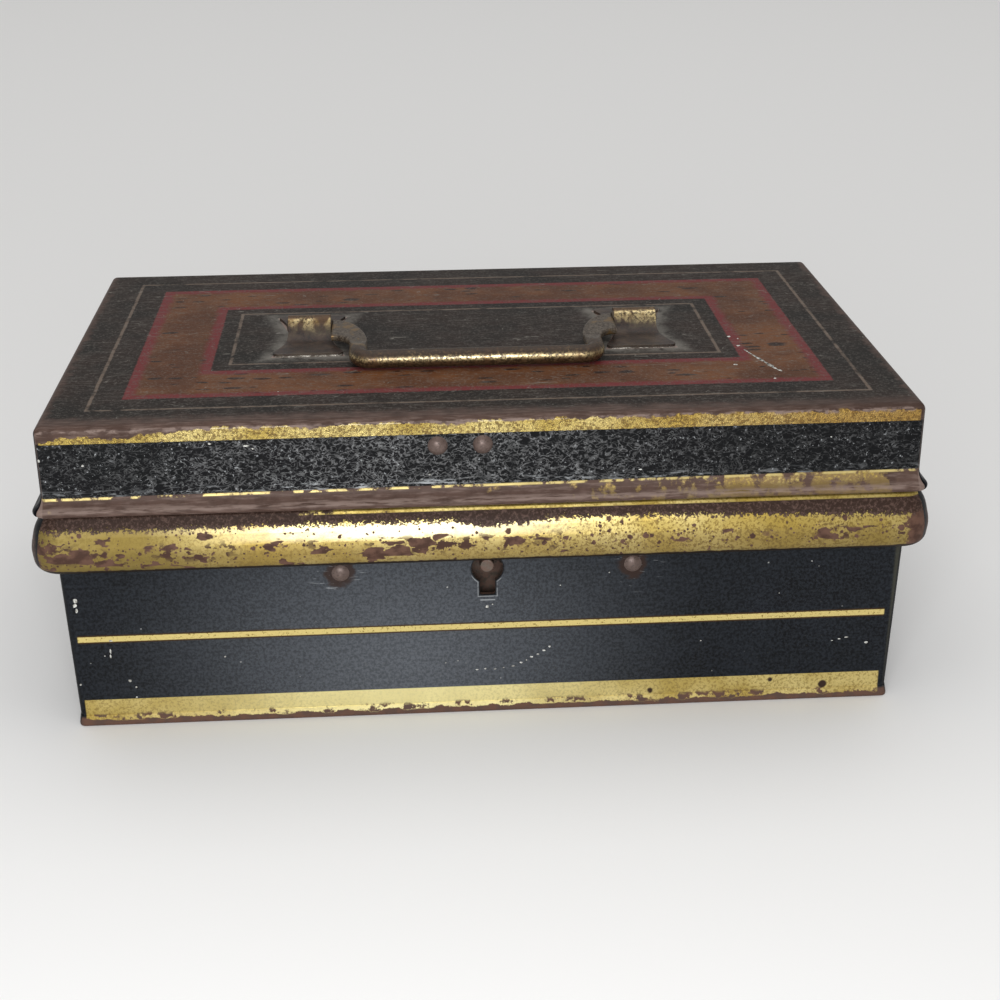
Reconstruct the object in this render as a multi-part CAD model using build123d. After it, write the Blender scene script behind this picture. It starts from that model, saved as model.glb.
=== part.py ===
from build123d import *
from math import asin, atan2, cos, degrees, radians, sin
import os

# Deed box: a japanned tin box with a beaded body, a hinged lid, a drop handle and a till lock.
# Millimetres. The origin is the middle of the base on the floor. The front is towards -Y,
# +X is to the right of someone facing the front, and +Z is up. The lid is shut, the handle lies
# folded towards the front, and the lock is open.

# ---------------------------------------------------------------- driving sizes

# Lid
LID_WIDTH = 254.0
LID_DEPTH = 154.0
LID_HEIGHT = 26.7            # from the curled rim to the flat top
LID_CORNER_R = 1.6           # upright corners
LID_BEND_R = 2.2             # bend from the top into the aprons
RIM_HEIGHT = 6.5             # cove and curl together
RIM_FLARE = 2.8              # how far the rim stands out of the apron
CURL_R = 1.2
CURL_TURN = 285.0            # degrees of roll in the curl
RIM_MITRE_GAP = 1.0          # open mitre at the outside of the rim's front corners
BACK_APRON_LIFT = 0.4        # the back apron stops this far above the rim
SHEET = 0.5                  # tinplate of the body and lid

# Body
BODY_HEIGHT = 70.2           # floor to the flat top of the bead
NECK_HEIGHT = 9.8            # inner lip that the lid closes over
NECK_STEP = 0.85             # the neck stands out of the wall by this
NECK_CLEARANCE = 0.75        # neck to apron, all round
LID_SEAT_GAP = 0.3           # bead to curled rim
BEAD_HEIGHT = 17.4
BEAD_REACH = 7.0             # corner of the bead's belly, before it is rounded
BEAD_FOOT_REACH = 6.2
BEAD_BROW_REACH = 5.5
BEAD_SHOULDER_REACH = 3.1
BEAD_BELLY_DROP = 10.4       # from the bead's top to its belly
BEAD_BROW_DROP = 4.2         # from the bead's top to its brow
BEAD_FOOT_R = 3.8
BEAD_BELLY_R = 10.0
BEAD_BROW_R = 10.0
BEAD_SHOULDER_R = 1.2
BEAD_ROOT_R = 0.8
BEAD_ROOT = 2.8              # upright wall below the bead, where the lean ends
END_LEAN = 1.5               # each end leans in by this at the floor
BODY_CORNER_R = 2.0
BOTTOM_SHEET = 0.5
HEM_HEIGHT = 3.4
HEM_REACH = 0.6
HEM_TIP = 0.12
HEM_FOLD = 0.85              # upright edge at the floor
HEM_ROUND = 0.4

# Handle
EAR_SPACING = 105.0          # middle of one ear to the middle of the other
EAR_WAIST = 13.5
EAR_FOOT_WIDTH = 23.9        # before the corners are rounded
EAR_LENGTH = 40.0
EAR_LOOP_LENGTH = 9.0        # straight waist over the loop
EAR_SHEET = 0.9
EAR_CORNER_R = 1.6
EAR_LEAN = 30.0              # degrees; its sides lean out from the loop to the feet
EAR_FOOT_BEND_R = 6.0
PIVOT_HEIGHT = 4.0           # above the lid
JOURNAL_R = 2.2
JOURNAL_CLEARANCE = 0.1
JOURNAL_PROUD = 0.5          # journal end beyond the ear
GRIP_R = 2.8
GRIP_HALF_LENGTH = 39.5      # out to the outside of the arms
GRIP_BEND_R = 4.2            # middle of the rod, at the grip's corners
GRIP_REACH = 33.0            # pivot to the middle of the grip
GRIP_REST_GAP = 0.15
ARM_THICKNESS = 2.2
ARM_BEND_LENGTH = 20.0       # pivot to the end of the arm's curve
ARM_ROOT_WIDTH = 15.0        # flattened web beside the ear
ARM_ROOT_BACK = 1.6          # of which behind the pivot
ARM_EAR_GAP = 0.4
ARM_EDGE_R = 0.7
ARM_TAPER_LENGTH = 7.0       # over which the rod is beaten flat
ARM_TAPER_R = 9.0            # rounding at both ends of that taper

# Hinges
HINGE_INSET = 47.0           # middle of a hinge to the end of the lid
HINGE_LENGTH = 36.0
HINGE_KNUCKLES = 3
HINGE_AXIS_DROP = 1.0        # axis below the curled rim
HINGE_PIN_R = 1.0
HINGE_PIN_CLEARANCE = 0.05
HINGE_PIN_HEAD_R = 1.7
HINGE_PIN_HEAD = 0.8
HINGE_LEAF = 0.8
HINGE_GAP = 0.3
HINGE_LID_LEAF = 19.5        # axis to the top edge
HINGE_BODY_LEAF = 20.5       # axis to the bottom edge
HINGE_JOGGLE_DROP = 3.0      # axis to the top of the joggle
HINGE_JOGGLE = 2.6
HINGE_RIVET_SPACING = 22.0
HINGE_CORNER_R = 2.0
HINGE_BODY_RIVET_INSET = 6.0 # rivets to the lower leaf's bottom edge
HINGE_LID_RIVET_INSET = 4.5  # rivets to the upper leaf's top edge

# Lock and staple
LOCK_DROP = 4.5              # keyhole and plate rivets below the bead
KEYHOLE_R = 4.7
KEYHOLE_SLOT = 4.7
KEYHOLE_DROP = 8.7           # keyhole centre to the bottom of its slot
KEYHOLE_SLOT_R = 0.8
LOCK_PLATE = 1.2
LOCK_PLATE_RIVET_SPAN = 86.6
LOCK_TAB_MARGIN = 5.0
LOCK_TAB_HEIGHT = 15.0
LOCK_PLATE_CORNER_R = 2.0
CASE_DEPTH = 9.0
CASE_SHEET = 1.0
CASE_LOW = 14.3              # below the keyhole
CASE_HIGH = 22.7             # above the keyhole
CASE_FLANGE = 6.0
CASE_FLANGE_HEIGHT = 22.0
CASE_RIVET_SPACING = 15.0
CASE_CORNER_R = 0.9
DRILL_PIN_R = 2.15
DRILL_PIN_RECESS = 1.0       # pin end behind the front of the lock plate
STUMP_R = 1.5
BOLT_THICKNESS = 2.0
BOLT_THROW = 8.0
BOLT_BAR_HEIGHT = 6.3
BOLT_BAR_DROP = 1.2          # staple to the bar
BOLT_BAR_END = 4.0           # beyond the last stump
BOLT_CASE_GAP = 2.0          # bar end to the case at either end of the throw
BOLT_SLOT_CLEARANCE = 0.3
BOLT_POST = 3.6
BOLT_FINGER_HEIGHT = 3.5
BOLT_FINGER_LIFT = 2.6       # finger above the inside of the hook
BOLT_STAPLE_GAP = 0.6
TALON_WIDTH = 7.0
TALON_DEPTH = 4.3
TALON_WEB = 2.7              # metal between the talon and the slot for a stump
BOLT_SPRING_GAP = 0.2
SPRING_RISE = 4.0            # from the bolt's bar to the spring's root
SPRING_SHEET = 0.4
SPRING_WIDTH = 4.0
STAPLE_X = -7.5
STAPLE_DROP = 8.6            # staple rivets below the lid's top
STAPLE_SHEET = 1.0
STAPLE_STRAP = 8.0
STAPLE_PLATE_WIDTH = 20.0
STAPLE_PLATE_HEIGHT = 9.6
STAPLE_RIVET_SPAN = 12.9
STAPLE_LOOP = 6.2            # outside of the hook, front to back
STAPLE_LOOP_HEIGHT = 7.5
STAPLE_LOOP_FLAT = 0.1       # flat left at the bottom of the hook
STAPLE_LOOP_LOW = 12.7       # bottom of the hook above the keyhole
STAPLE_NECK_GAP = 1.2
STAPLE_PLATE_GAP = 0.5
SLOT_MARGIN = 0.8

# Rivets
FRONT_RIVET_HEAD_R = 2.85
FRONT_RIVET_HEAD = 1.5
PLATE_RIVET_HEAD_R = 2.6
PLATE_RIVET_HEAD = 1.0
SMALL_RIVET_HEAD_R = 2.0
SMALL_RIVET_HEAD = 0.9
RIVET_R = 1.0
RIVET_TAIL_R = 1.8
RIVET_TAIL = 0.6
RIVET_CLEARANCE = 0.05

# ---------------------------------------------------------------- worked-out places

RIM_Z = BODY_HEIGHT + LID_SEAT_GAP
COVE_Z = RIM_Z + RIM_HEIGHT
LID_TOP_Z = RIM_Z + LID_HEIGHT
NECK_TOP_Z = BODY_HEIGHT + NECK_HEIGHT
BEAD_FOOT_Z = BODY_HEIGHT - BEAD_HEIGHT
WALL_TOP_Z = BEAD_FOOT_Z - BEAD_ROOT
APRON_X = LID_WIDTH / 2
APRON_Y = LID_DEPTH / 2
NECK_X = APRON_X - SHEET - NECK_CLEARANCE
NECK_Y = APRON_Y - SHEET - NECK_CLEARANCE
WALL_X = NECK_X - NECK_STEP
FRONT_Y = -(NECK_Y - NECK_STEP)      # outside of the front wall
BACK_Y = NECK_Y                      # outside of the back wall
CUT = 20.0                           # how far cutting tools overrun the metal
NEAR = 0.5                           # how near a corner lies to the place it is picked by

BARREL_R = HINGE_PIN_R + HINGE_PIN_CLEARANCE + HINGE_LEAF
HINGE_SPACING = LID_WIDTH - 2 * HINGE_INSET
HINGE_KNUCKLE = HINGE_LENGTH / HINGE_KNUCKLES
HINGE_Y = APRON_Y + BARREL_R
HINGE_Z = RIM_Z - HINGE_AXIS_DROP
PIVOT_Z = LID_TOP_Z + PIVOT_HEIGHT

LOCK_HEIGHT = BEAD_FOOT_Z - LOCK_DROP
STAPLE_HEIGHT = LID_TOP_Z - STAPLE_DROP
PLATE_Y = FRONT_Y + SHEET            # front of the lock plate
CASE_Y = PLATE_Y + LOCK_PLATE        # front of the lock case
STAPLE_FRONT_Y = CASE_Y + STAPLE_PLATE_GAP
BOLT_Y = STAPLE_FRONT_Y + STAPLE_LOOP / 2
STAPLE_LOW_Z = LOCK_HEIGHT + STAPLE_LOOP_LOW
BAR_TOP_Z = STAPLE_LOW_Z - BOLT_BAR_DROP
BAR_Z = BAR_TOP_Z - BOLT_BAR_HEIGHT / 2
STUMP_SLOT_R = STUMP_R + BOLT_SLOT_CLEARANCE
STUMP_SPACING = BOLT_THROW + TALON_WIDTH + 2 * (STUMP_SLOT_R + TALON_WEB)
CASE_WIDTH = STUMP_SPACING + 2 * (CASE_SHEET + BOLT_CASE_GAP + BOLT_THROW + BOLT_BAR_END)


# ---------------------------------------------------------------- helpers

def block(x_range, y_range, z_range):
    """A box between two limits on each axis."""
    lows, highs = zip(x_range, y_range, z_range)
    sizes = [high - low for low, high in zip(lows, highs)]
    return Pos(*lows) * Box(*sizes, align=(Align.MIN, Align.MIN, Align.MIN))


def prism_y(sketch, near_y, far_y):
    """A sketch drawn as (x, z), made solid from near_y back to far_y."""
    return extrude(Plane.XZ.offset(-near_y) * sketch, amount=near_y - far_y)


def prism_x(sketch, centre_x, width):
    """A sketch drawn as (y, z), made solid across width about centre_x."""
    return extrude(Plane.YZ.offset(centre_x) * sketch, amount=width / 2, both=True)


def rod(radius, near_y, far_y, x, z):
    """A round rod along Y."""
    return Pos(x, (near_y + far_y) / 2, z) * Rot(X=90) * Cylinder(radius, far_y - near_y)


def rod_x(radius, centre_x, width, y, z):
    """A round rod along X."""
    return Pos(centre_x, y, z) * Rot(Y=90) * Cylinder(radius, width)


def rivet(head_r, head_height, stack, tailed=True):
    """Domed rivet along +Z: its head stands on z = 0.

    Its tail closes under the stack, or is filed flush with it.
    """
    dome = (head_r**2 + head_height**2) / (2 * head_height)
    head = Pos(0, 0, head_height - dome) * Sphere(dome) & Pos(0, 0, dome) * Box(
        CUT, CUT, 2 * dome
    )
    shank = Pos(0, 0, -stack / 2) * Cylinder(RIVET_R, stack)
    if not tailed:
        return head + shank
    tail = Pos(0, 0, -stack - RIVET_TAIL / 2) * Cylinder(RIVET_TAIL_R, RIVET_TAIL)
    return head + shank + chamfer(tail.edges().group_by(Axis.Z)[0], RIVET_TAIL / 2)


def front_rivet(x, face_y, z, head_r, head_height, stack):
    """A rivet whose head is on a face that looks to the front."""
    return Pos(x, face_y, z) * Rot(X=90) * rivet(head_r, head_height, stack)


def back_rivet(x, face_y, z, stack, tailed=True):
    """A small rivet whose head is on a face that looks to the back."""
    body = rivet(SMALL_RIVET_HEAD_R, SMALL_RIVET_HEAD, stack, tailed)
    return Pos(x, face_y, z) * Rot(X=-90) * body


def rivet_holes(places, near_y, far_y):
    """Clearance holes along Y for rivets at (x, z) places."""
    holes = [rod(RIVET_R + RIVET_CLEARANCE, near_y - CUT, far_y + CUT, x, z) for x, z in places]
    return Compound(holes)


def pair(middle, spacing, z):
    """Two (x, z) places, spacing apart about a middle."""
    return [(middle - spacing / 2, z), (middle + spacing / 2, z)]


def wrap_path(half_x, front_y, back_y, corner_r):
    """Path round the box: forward along the right end, across the front, back along the left."""
    return FilletPolyline(
        (half_x, back_y), (half_x, front_y), (-half_x, front_y), (-half_x, back_y),
        radius=corner_r,
    )


def wrap_sheet(section, half_x, front_y, back_y, corner_r):
    """Bent sheet round the right end, front and left end.

    The section is drawn as (distance out of the wall, height).
    """
    start = Plane(origin=(half_x, back_y, 0), x_dir=(1, 0, 0), z_dir=(0, -1, 0))
    return sweep(start * section, path=wrap_path(half_x, front_y, back_y, corner_r))


def keyhole_sketch():
    """Keyhole as (x, z): a round eye with a slot below it."""
    slot = Pos(0, -KEYHOLE_DROP / 2) * Rectangle(KEYHOLE_SLOT, KEYHOLE_DROP)
    slot = fillet(slot.vertices().group_by(Axis.Y)[0], KEYHOLE_SLOT_R)
    return Pos(0, LOCK_HEIGHT) * (Circle(KEYHOLE_R) + slot)


# ---------------------------------------------------------------- body

def half_width_at(z):
    """Half the body's outside width at a height, up to where the walls stand upright."""
    return WALL_X - END_LEAN * (WALL_TOP_Z - z) / WALL_TOP_Z


def wall_outline(z, inset, back_y):
    """Plan of the body at height z, set in from its outside face, with round front corners."""
    half_x = half_width_at(z) - inset
    front_y = FRONT_Y + inset
    outline = Pos(0, (front_y + back_y) / 2, z) * Rectangle(2 * half_x, back_y - front_y)
    return fillet(outline.vertices().group_by(Axis.Y)[0], BODY_CORNER_R - inset)


def wall_block(inset, back_y):
    """Solid block between the bottom sheet and the top of the leaning walls."""
    levels = (BOTTOM_SHEET, WALL_TOP_Z)
    return loft([wall_outline(z, inset, back_y).face() for z in levels], ruled=True)


def bead_line():
    """Outside face of the bead and neck, from the wall up to the neck's edge."""
    return FilletPolyline(
        (0, WALL_TOP_Z),
        (0, BEAD_FOOT_Z),
        (BEAD_FOOT_REACH, BEAD_FOOT_Z),
        (BEAD_REACH, BODY_HEIGHT - BEAD_BELLY_DROP),
        (BEAD_BROW_REACH, BODY_HEIGHT - BEAD_BROW_DROP),
        (BEAD_SHOULDER_REACH, BODY_HEIGHT),
        (NECK_STEP, BODY_HEIGHT),
        (NECK_STEP, NECK_TOP_Z),
        radius=[
            BEAD_ROOT_R, BEAD_FOOT_R, BEAD_BELLY_R, BEAD_BROW_R, BEAD_SHOULDER_R, BEAD_ROOT_R
        ],
    )


def body_wrap():
    """Front and end walls in one, with bead and neck."""
    inside_back = BACK_Y - SHEET
    walls = wall_block(0, inside_back) - wall_block(SHEET, inside_back + CUT)
    section = make_face(offset(bead_line(), amount=SHEET, side=Side.LEFT))
    bead = wrap_sheet(section, WALL_X, FRONT_Y, inside_back, BODY_CORNER_R)
    return walls + bead


def body_end_zone():
    """Plan zone of the right end panel, cut at 45 degrees through the front corner."""
    corner_x = WALL_X - BODY_CORNER_R
    corner_y = FRONT_Y + BODY_CORNER_R
    zone = Polygon(
        (corner_x, corner_y),
        (corner_x + CUT, corner_y - CUT),
        (corner_x + CUT, BACK_Y + CUT),
        (corner_x, BACK_Y + CUT),
        align=None,
    )
    return extrude(zone, amount=LID_TOP_Z)


def body_panels():
    """Front panel, right end panel and left end panel."""
    wrap = body_wrap()
    right_zone = body_end_zone()
    left_zone = mirror(right_zone, about=Plane.YZ)
    front = wrap - right_zone - left_zone
    front -= prism_y(keyhole_sketch(), FRONT_Y - CUT, FRONT_Y + CUT)
    front -= rivet_holes(pair(0, LOCK_PLATE_RIVET_SPAN, LOCK_HEIGHT), FRONT_Y, FRONT_Y)
    return front, wrap & right_zone, wrap & left_zone


def body_back():
    """Flat back panel, cut to the body's end section so that it closes the bead's ends."""
    foot_x = half_width_at(BOTTOM_SHEET)
    right = Line((foot_x, BOTTOM_SHEET), (WALL_X, WALL_TOP_Z)) + Pos(WALL_X, 0) * bead_line()
    left = mirror(right, about=Plane.YZ)
    foot = Line((-foot_x, BOTTOM_SHEET), (foot_x, BOTTOM_SHEET))
    top = Line((-NECK_X, NECK_TOP_Z), (NECK_X, NECK_TOP_Z))
    panel = prism_y(make_face(right + left + foot + top), BACK_Y - SHEET, BACK_Y)
    places = []
    for side in (-1, 1):
        places += pair(side * HINGE_SPACING / 2, HINGE_RIVET_SPACING, body_leaf_rivet_z())
    return panel - rivet_holes(places, BACK_Y, BACK_Y)


def bottom_panel():
    """Flat bottom with a hem turned up outside the walls and run out with solder."""
    def hem_outline(z, reach):
        depth = BACK_Y - FRONT_Y + 2 * reach
        outline = Pos(0, (FRONT_Y + BACK_Y) / 2, z) * Rectangle(
            2 * (half_width_at(z) + reach), depth
        )
        return fillet(outline.vertices(), BODY_CORNER_R).face()

    foot = extrude(hem_outline(0, HEM_REACH), amount=HEM_FOLD)
    foot = fillet(foot.edges().group_by(Axis.Z)[0], HEM_ROUND)
    levels = [hem_outline(HEM_FOLD, HEM_REACH), hem_outline(HEM_HEIGHT, HEM_TIP)]
    return foot + loft(levels, ruled=True) - wall_block(0, BACK_Y)


# ---------------------------------------------------------------- lid

def lid_block(inset):
    """Solid block with the lid's bends, set in from its outside face."""
    low_z = RIM_Z + BACK_APRON_LIFT
    top_z = LID_TOP_Z - inset
    half_x = APRON_X - inset
    half_y = APRON_Y - inset
    lid = block((-half_x, half_x), (-half_y, half_y), (low_z, top_z))
    lid = fillet(lid.edges().filter_by(Axis.Z), LID_CORNER_R - inset)
    return fillet(lid.faces().sort_by(Axis.Z)[-1].edges(), LID_BEND_R - inset)


def rim_line(depth):
    """Line in the rim's metal at a depth from its outside face: a cove, then the curl."""
    drop = RIM_HEIGHT - CURL_R
    turn = 2 * atan2(RIM_FLARE, drop)
    cove_r = drop / sin(turn) - CURL_R
    cove = JernArc((-depth, COVE_Z), (0, -1), radius=cove_r + depth, arc_size=degrees(turn))
    curl = JernArc(cove @ 1, cove % 1, radius=CURL_R - depth, arc_size=-CURL_TURN)
    return cove, curl


def rim_section():
    """Section of the rim: its outside and inside faces, joined at the apron and at the curl."""
    cove_out, curl_out = rim_line(0)
    cove_in, curl_in = rim_line(SHEET)
    top = Line(cove_out @ 0, cove_in @ 0)
    tip = Line(curl_out @ 1, curl_in @ 1)
    return make_face([cove_out, curl_out, tip, curl_in, cove_in, top])


def rim_mitre(side):
    """Open wedge at a front corner of the rim."""
    spread = CUT * RIM_MITRE_GAP / (2 * RIM_FLARE)
    wedge = Polygon((0, 0), (CUT, -spread), (CUT, spread), align=None)
    corner = Pos(APRON_X - LID_CORNER_R / 2, -APRON_Y + LID_CORNER_R / 2) * Rot(Z=-45)
    tool = extrude(corner * wedge, amount=COVE_Z - SHEET)
    return tool if side > 0 else mirror(tool, about=Plane.YZ)


def lid_wrap():
    """The whole lid: top, four aprons and the curled rim on three sides."""
    rim_back_y = APRON_Y - LID_CORNER_R
    shell = lid_block(0) - lid_block(SHEET)
    shell -= block((-LID_WIDTH, LID_WIDTH), (-LID_DEPTH, rim_back_y), (0, COVE_Z))
    rim = wrap_sheet(rim_section(), APRON_X, -APRON_Y, rim_back_y, LID_CORNER_R)
    for side in (-1, 1):
        rim -= rim_mitre(side)
    return shell + rim


def lid_end_zone():
    """Plan zone of the right end panel, cut at 45 degrees through both corners."""
    corner_x = APRON_X - LID_CORNER_R
    corner_y = APRON_Y - LID_CORNER_R
    zone = Polygon(
        (corner_x, -corner_y),
        (corner_x + CUT, -corner_y - CUT),
        (corner_x + CUT, corner_y + CUT),
        (corner_x, corner_y),
        align=None,
    )
    return extrude(zone, amount=LID_TOP_Z + CUT)


def lid_panels():
    """Top sheet with front and back aprons, right end panel and left end panel."""
    wrap = lid_wrap()
    right_zone = lid_end_zone()
    left_zone = mirror(right_zone, about=Plane.YZ)
    cover = wrap - right_zone - left_zone
    cover -= rivet_holes(pair(STAPLE_X, STAPLE_RIVET_SPAN, STAPLE_HEIGHT), -APRON_Y, -APRON_Y)
    for side in (-1, 1):
        places = pair(side * HINGE_SPACING / 2, HINGE_RIVET_SPACING, lid_leaf_rivet_z())
        cover -= rivet_holes(places, APRON_Y, APRON_Y)
    return cover, wrap & right_zone, wrap & left_zone


# ---------------------------------------------------------------- handle

def ear(x):
    """Strap bent over the handle's journal, with a waist at the loop and splayed soldered feet."""
    bore_r = JOURNAL_R + JOURNAL_CLEARANCE
    outer_r = bore_r + EAR_SHEET
    lean = radians(EAR_LEAN)
    side_y = (outer_r + (PIVOT_HEIGHT - EAR_SHEET) * sin(lean)) / cos(lean)
    touch_y = outer_r * cos(lean)
    touch_z = PIVOT_HEIGHT + outer_r * sin(lean)
    foot = Pos(0, EAR_SHEET / 2) * Rectangle(EAR_LENGTH, EAR_SHEET)
    right = [(side_y, EAR_SHEET), (touch_y, touch_z)]
    left = [(-y, z) for y, z in reversed(right)]
    sides = Polygon(*left, (-side_y, 0), (side_y, 0), *right, align=None)
    profile = foot + sides + Pos(0, PIVOT_HEIGHT) * Circle(outer_r)
    creases = [v for v in profile.vertices() if abs(abs(v.X) - side_y) < NEAR]
    creases = [v for v in creases if abs(v.Y - EAR_SHEET) < NEAR]
    profile = fillet(creases, EAR_FOOT_BEND_R)
    profile -= Pos(0, PIVOT_HEIGHT / 2) * Rectangle(2 * bore_r, PIVOT_HEIGHT)
    profile -= Pos(0, PIVOT_HEIGHT) * Circle(bore_r)
    strap = prism_x(profile, 0, EAR_FOOT_WIDTH)

    waist = EAR_WAIST / 2
    flare = EAR_FOOT_WIDTH / 2
    start_y = EAR_LOOP_LENGTH / 2
    end_y = EAR_LENGTH / 2
    middle = ((2 * waist + flare) / 3, (start_y + end_y) / 2)
    quarter = Line((0, start_y), (waist, start_y)) + ThreePointArc(
        (waist, start_y), middle, (flare, end_y)
    )
    quarter += Line((flare, end_y), (0, end_y)) + Line((0, end_y), (0, start_y))
    splay = make_face(quarter)
    splay = fillet(splay.vertices().sort_by_distance((flare, end_y))[0], EAR_CORNER_R)
    splay += mirror(splay, about=Plane.YZ)
    plan = splay + mirror(splay, about=Plane.XZ) + Rectangle(EAR_WAIST, EAR_LOOP_LENGTH)
    strap &= extrude(plan, amount=2 * PIVOT_HEIGHT)
    return Pos(x, 0, LID_TOP_Z) * strap


def arm_sketch():
    """Plan of the right arm's flat: a wide web beside the ear that curves into the shank."""
    root_x = EAR_SPACING / 2 - EAR_WAIST / 2 - ARM_EAR_GAP
    inner_x = GRIP_HALF_LENGTH - 2 * GRIP_R
    back = ARM_BEND_LENGTH + ARM_ROOT_BACK
    front = back - ARM_ROOT_WIDTH
    ring = Ellipse(root_x - inner_x, back) - Ellipse(root_x - GRIP_HALF_LENGTH, front)
    quarter = Pos(inner_x - root_x, 0) * Rectangle(
        root_x - inner_x, back, align=(Align.MIN, Align.MIN)
    )
    return Pos(root_x, -ARM_BEND_LENGTH) * (ring & quarter)


def arm_squeeze():
    """Side outline of the bail, as (y, z): full round at the grip, beaten flat at the arms."""
    taper_y = -ARM_BEND_LENGTH - ARM_TAPER_LENGTH
    upper = FilletPolyline(
        (-GRIP_REACH - 2 * GRIP_R, GRIP_R),
        (taper_y, GRIP_R),
        (-ARM_BEND_LENGTH, ARM_THICKNESS / 2),
        (-ARM_BEND_LENGTH + ARM_TAPER_LENGTH, ARM_THICKNESS / 2),
        radius=ARM_TAPER_R,
    )
    lower = mirror(upper, about=Plane.XZ)
    ends = [Line(upper @ end, lower @ end) for end in (0, 1)]
    return make_face(Curve() + [upper, lower] + ends)


def handle_bail():
    """Drop handle: a rod bent round at the grip's ends, beaten flat at the arms, in one piece."""
    arm_x = GRIP_HALF_LENGTH - GRIP_R
    right = arm_sketch()
    web = extrude(right + mirror(right, about=Plane.YZ), amount=ARM_THICKNESS / 2, both=True)
    web = fillet(web.edges().filter_by(Plane.XY), ARM_EDGE_R)
    shank_end = -ARM_BEND_LENGTH + ARM_EDGE_R
    line = FilletPolyline(
        (-arm_x, shank_end), (-arm_x, -GRIP_REACH), (arm_x, -GRIP_REACH), (arm_x, shank_end),
        radius=GRIP_BEND_R,
    )
    rod_section = Plane(origin=line @ 0, z_dir=line % 0) * Circle(GRIP_R)
    grip = sweep(rod_section, path=line) & prism_x(arm_squeeze(), 0, 3 * GRIP_HALF_LENGTH)
    inner_end = EAR_SPACING / 2 - EAR_WAIST / 2 - ARM_EAR_GAP
    outer_end = EAR_SPACING / 2 + EAR_WAIST / 2 + JOURNAL_PROUD
    journal = rod_x(JOURNAL_R, (inner_end + outer_end) / 2, outer_end - inner_end, 0, 0)
    journal = fillet(journal.edges().filter_by(GeomType.CIRCLE), JOURNAL_PROUD)
    bail = web + grip + journal + mirror(journal, about=Plane.YZ)
    rest = degrees(asin((PIVOT_HEIGHT - GRIP_R - GRIP_REST_GAP) / GRIP_REACH))
    return Pos(0, 0, PIVOT_Z) * Rot(X=rest) * bail


# ---------------------------------------------------------------- hinges

def body_leaf_rivet_z():
    """Height of the lower leaf's rivets."""
    return HINGE_Z - HINGE_BODY_LEAF + HINGE_BODY_RIVET_INSET


def lid_leaf_rivet_z():
    """Height of the upper leaf's rivets."""
    return HINGE_Z + HINGE_LID_LEAF - HINGE_LID_RIVET_INSET


def knuckle(x, width):
    """Rolled knuckle of a leaf."""
    return rod_x(BARREL_R, x, width, HINGE_Y, HINGE_Z)


def pin_bore(x):
    """Bore through the knuckles of one hinge."""
    return rod_x(HINGE_PIN_R + HINGE_PIN_CLEARANCE, x, HINGE_LENGTH + CUT, HINGE_Y, HINGE_Z)


def body_leaf(x):
    """Lower leaf: flat on the back wall, joggled out to the lid's plane, two outer knuckles."""
    top_z = HINGE_Z - HINGE_JOGGLE_DROP
    face = FilletPolyline(
        (BACK_Y, HINGE_Z - HINGE_BODY_LEAF),
        (BACK_Y, top_z - HINGE_JOGGLE),
        (APRON_Y, top_z),
        (APRON_Y, HINGE_Z),
        radius=HINGE_LEAF,
    )
    leaf = prism_x(make_face(offset(face, amount=HINGE_LEAF, side=Side.RIGHT)), x, HINGE_LENGTH)
    low_corners = leaf.edges().filter_by(Axis.Y).group_by(Axis.Z)[0]
    leaf = fillet(low_corners, HINGE_CORNER_R)
    gap = HINGE_KNUCKLE / 2 + HINGE_GAP
    notch_z = HINGE_Z - BARREL_R - HINGE_GAP
    leaf -= block((x - gap, x + gap), (BACK_Y, HINGE_Y + CUT), (notch_z, HINGE_Z + CUT))
    for side in (-1, 1):
        leaf += knuckle(x + side * HINGE_KNUCKLE, HINGE_KNUCKLE)
    leaf -= pin_bore(x)
    places = pair(x, HINGE_RIVET_SPACING, body_leaf_rivet_z())
    return leaf - rivet_holes(places, BACK_Y, BACK_Y)


def lid_leaf(x):
    """Upper leaf: flat on the back apron, with the middle knuckle."""
    leaf = block(
        (x - HINGE_LENGTH / 2, x + HINGE_LENGTH / 2),
        (APRON_Y, APRON_Y + HINGE_LEAF),
        (HINGE_Z, HINGE_Z + HINGE_LID_LEAF),
    )
    leaf = fillet(leaf.edges().filter_by(Axis.Y).group_by(Axis.Z)[-1], HINGE_CORNER_R)
    inner = HINGE_KNUCKLE / 2
    outer = HINGE_LENGTH / 2 + HINGE_GAP
    notch_z = HINGE_Z + BARREL_R + HINGE_GAP
    for side in (-1, 1):
        span = sorted((x + side * inner, x + side * outer))
        leaf -= block(span, (APRON_Y - CUT, HINGE_Y + CUT), (HINGE_Z - CUT, notch_z))
    leaf += knuckle(x, HINGE_KNUCKLE)
    for side in (-1, 1):
        span = sorted((x + side * (inner - HINGE_GAP), x + side * outer))
        leaf -= block(span, (APRON_Y - CUT, HINGE_Y + CUT), (HINGE_Z - CUT, notch_z))
    leaf -= pin_bore(x)
    places = pair(x, HINGE_RIVET_SPACING, lid_leaf_rivet_z())
    return leaf - rivet_holes(places, APRON_Y, APRON_Y)


def hinge_pin(x):
    """Pin peened over both outer knuckles."""
    pin = rod_x(HINGE_PIN_R, x, HINGE_LENGTH + 2 * HINGE_PIN_CLEARANCE, HINGE_Y, HINGE_Z)
    for side in (-1, 1):
        reach = HINGE_LENGTH / 2 + HINGE_PIN_CLEARANCE + HINGE_PIN_HEAD / 2
        head = rod_x(HINGE_PIN_HEAD_R, x + side * reach, HINGE_PIN_HEAD, HINGE_Y, HINGE_Z)
        outer_rim = head.edges().filter_by(GeomType.CIRCLE).sort_by(Axis.X)[0 if side < 0 else -1]
        pin += fillet(outer_rim, HINGE_PIN_HEAD / 2)
    return pin


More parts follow.
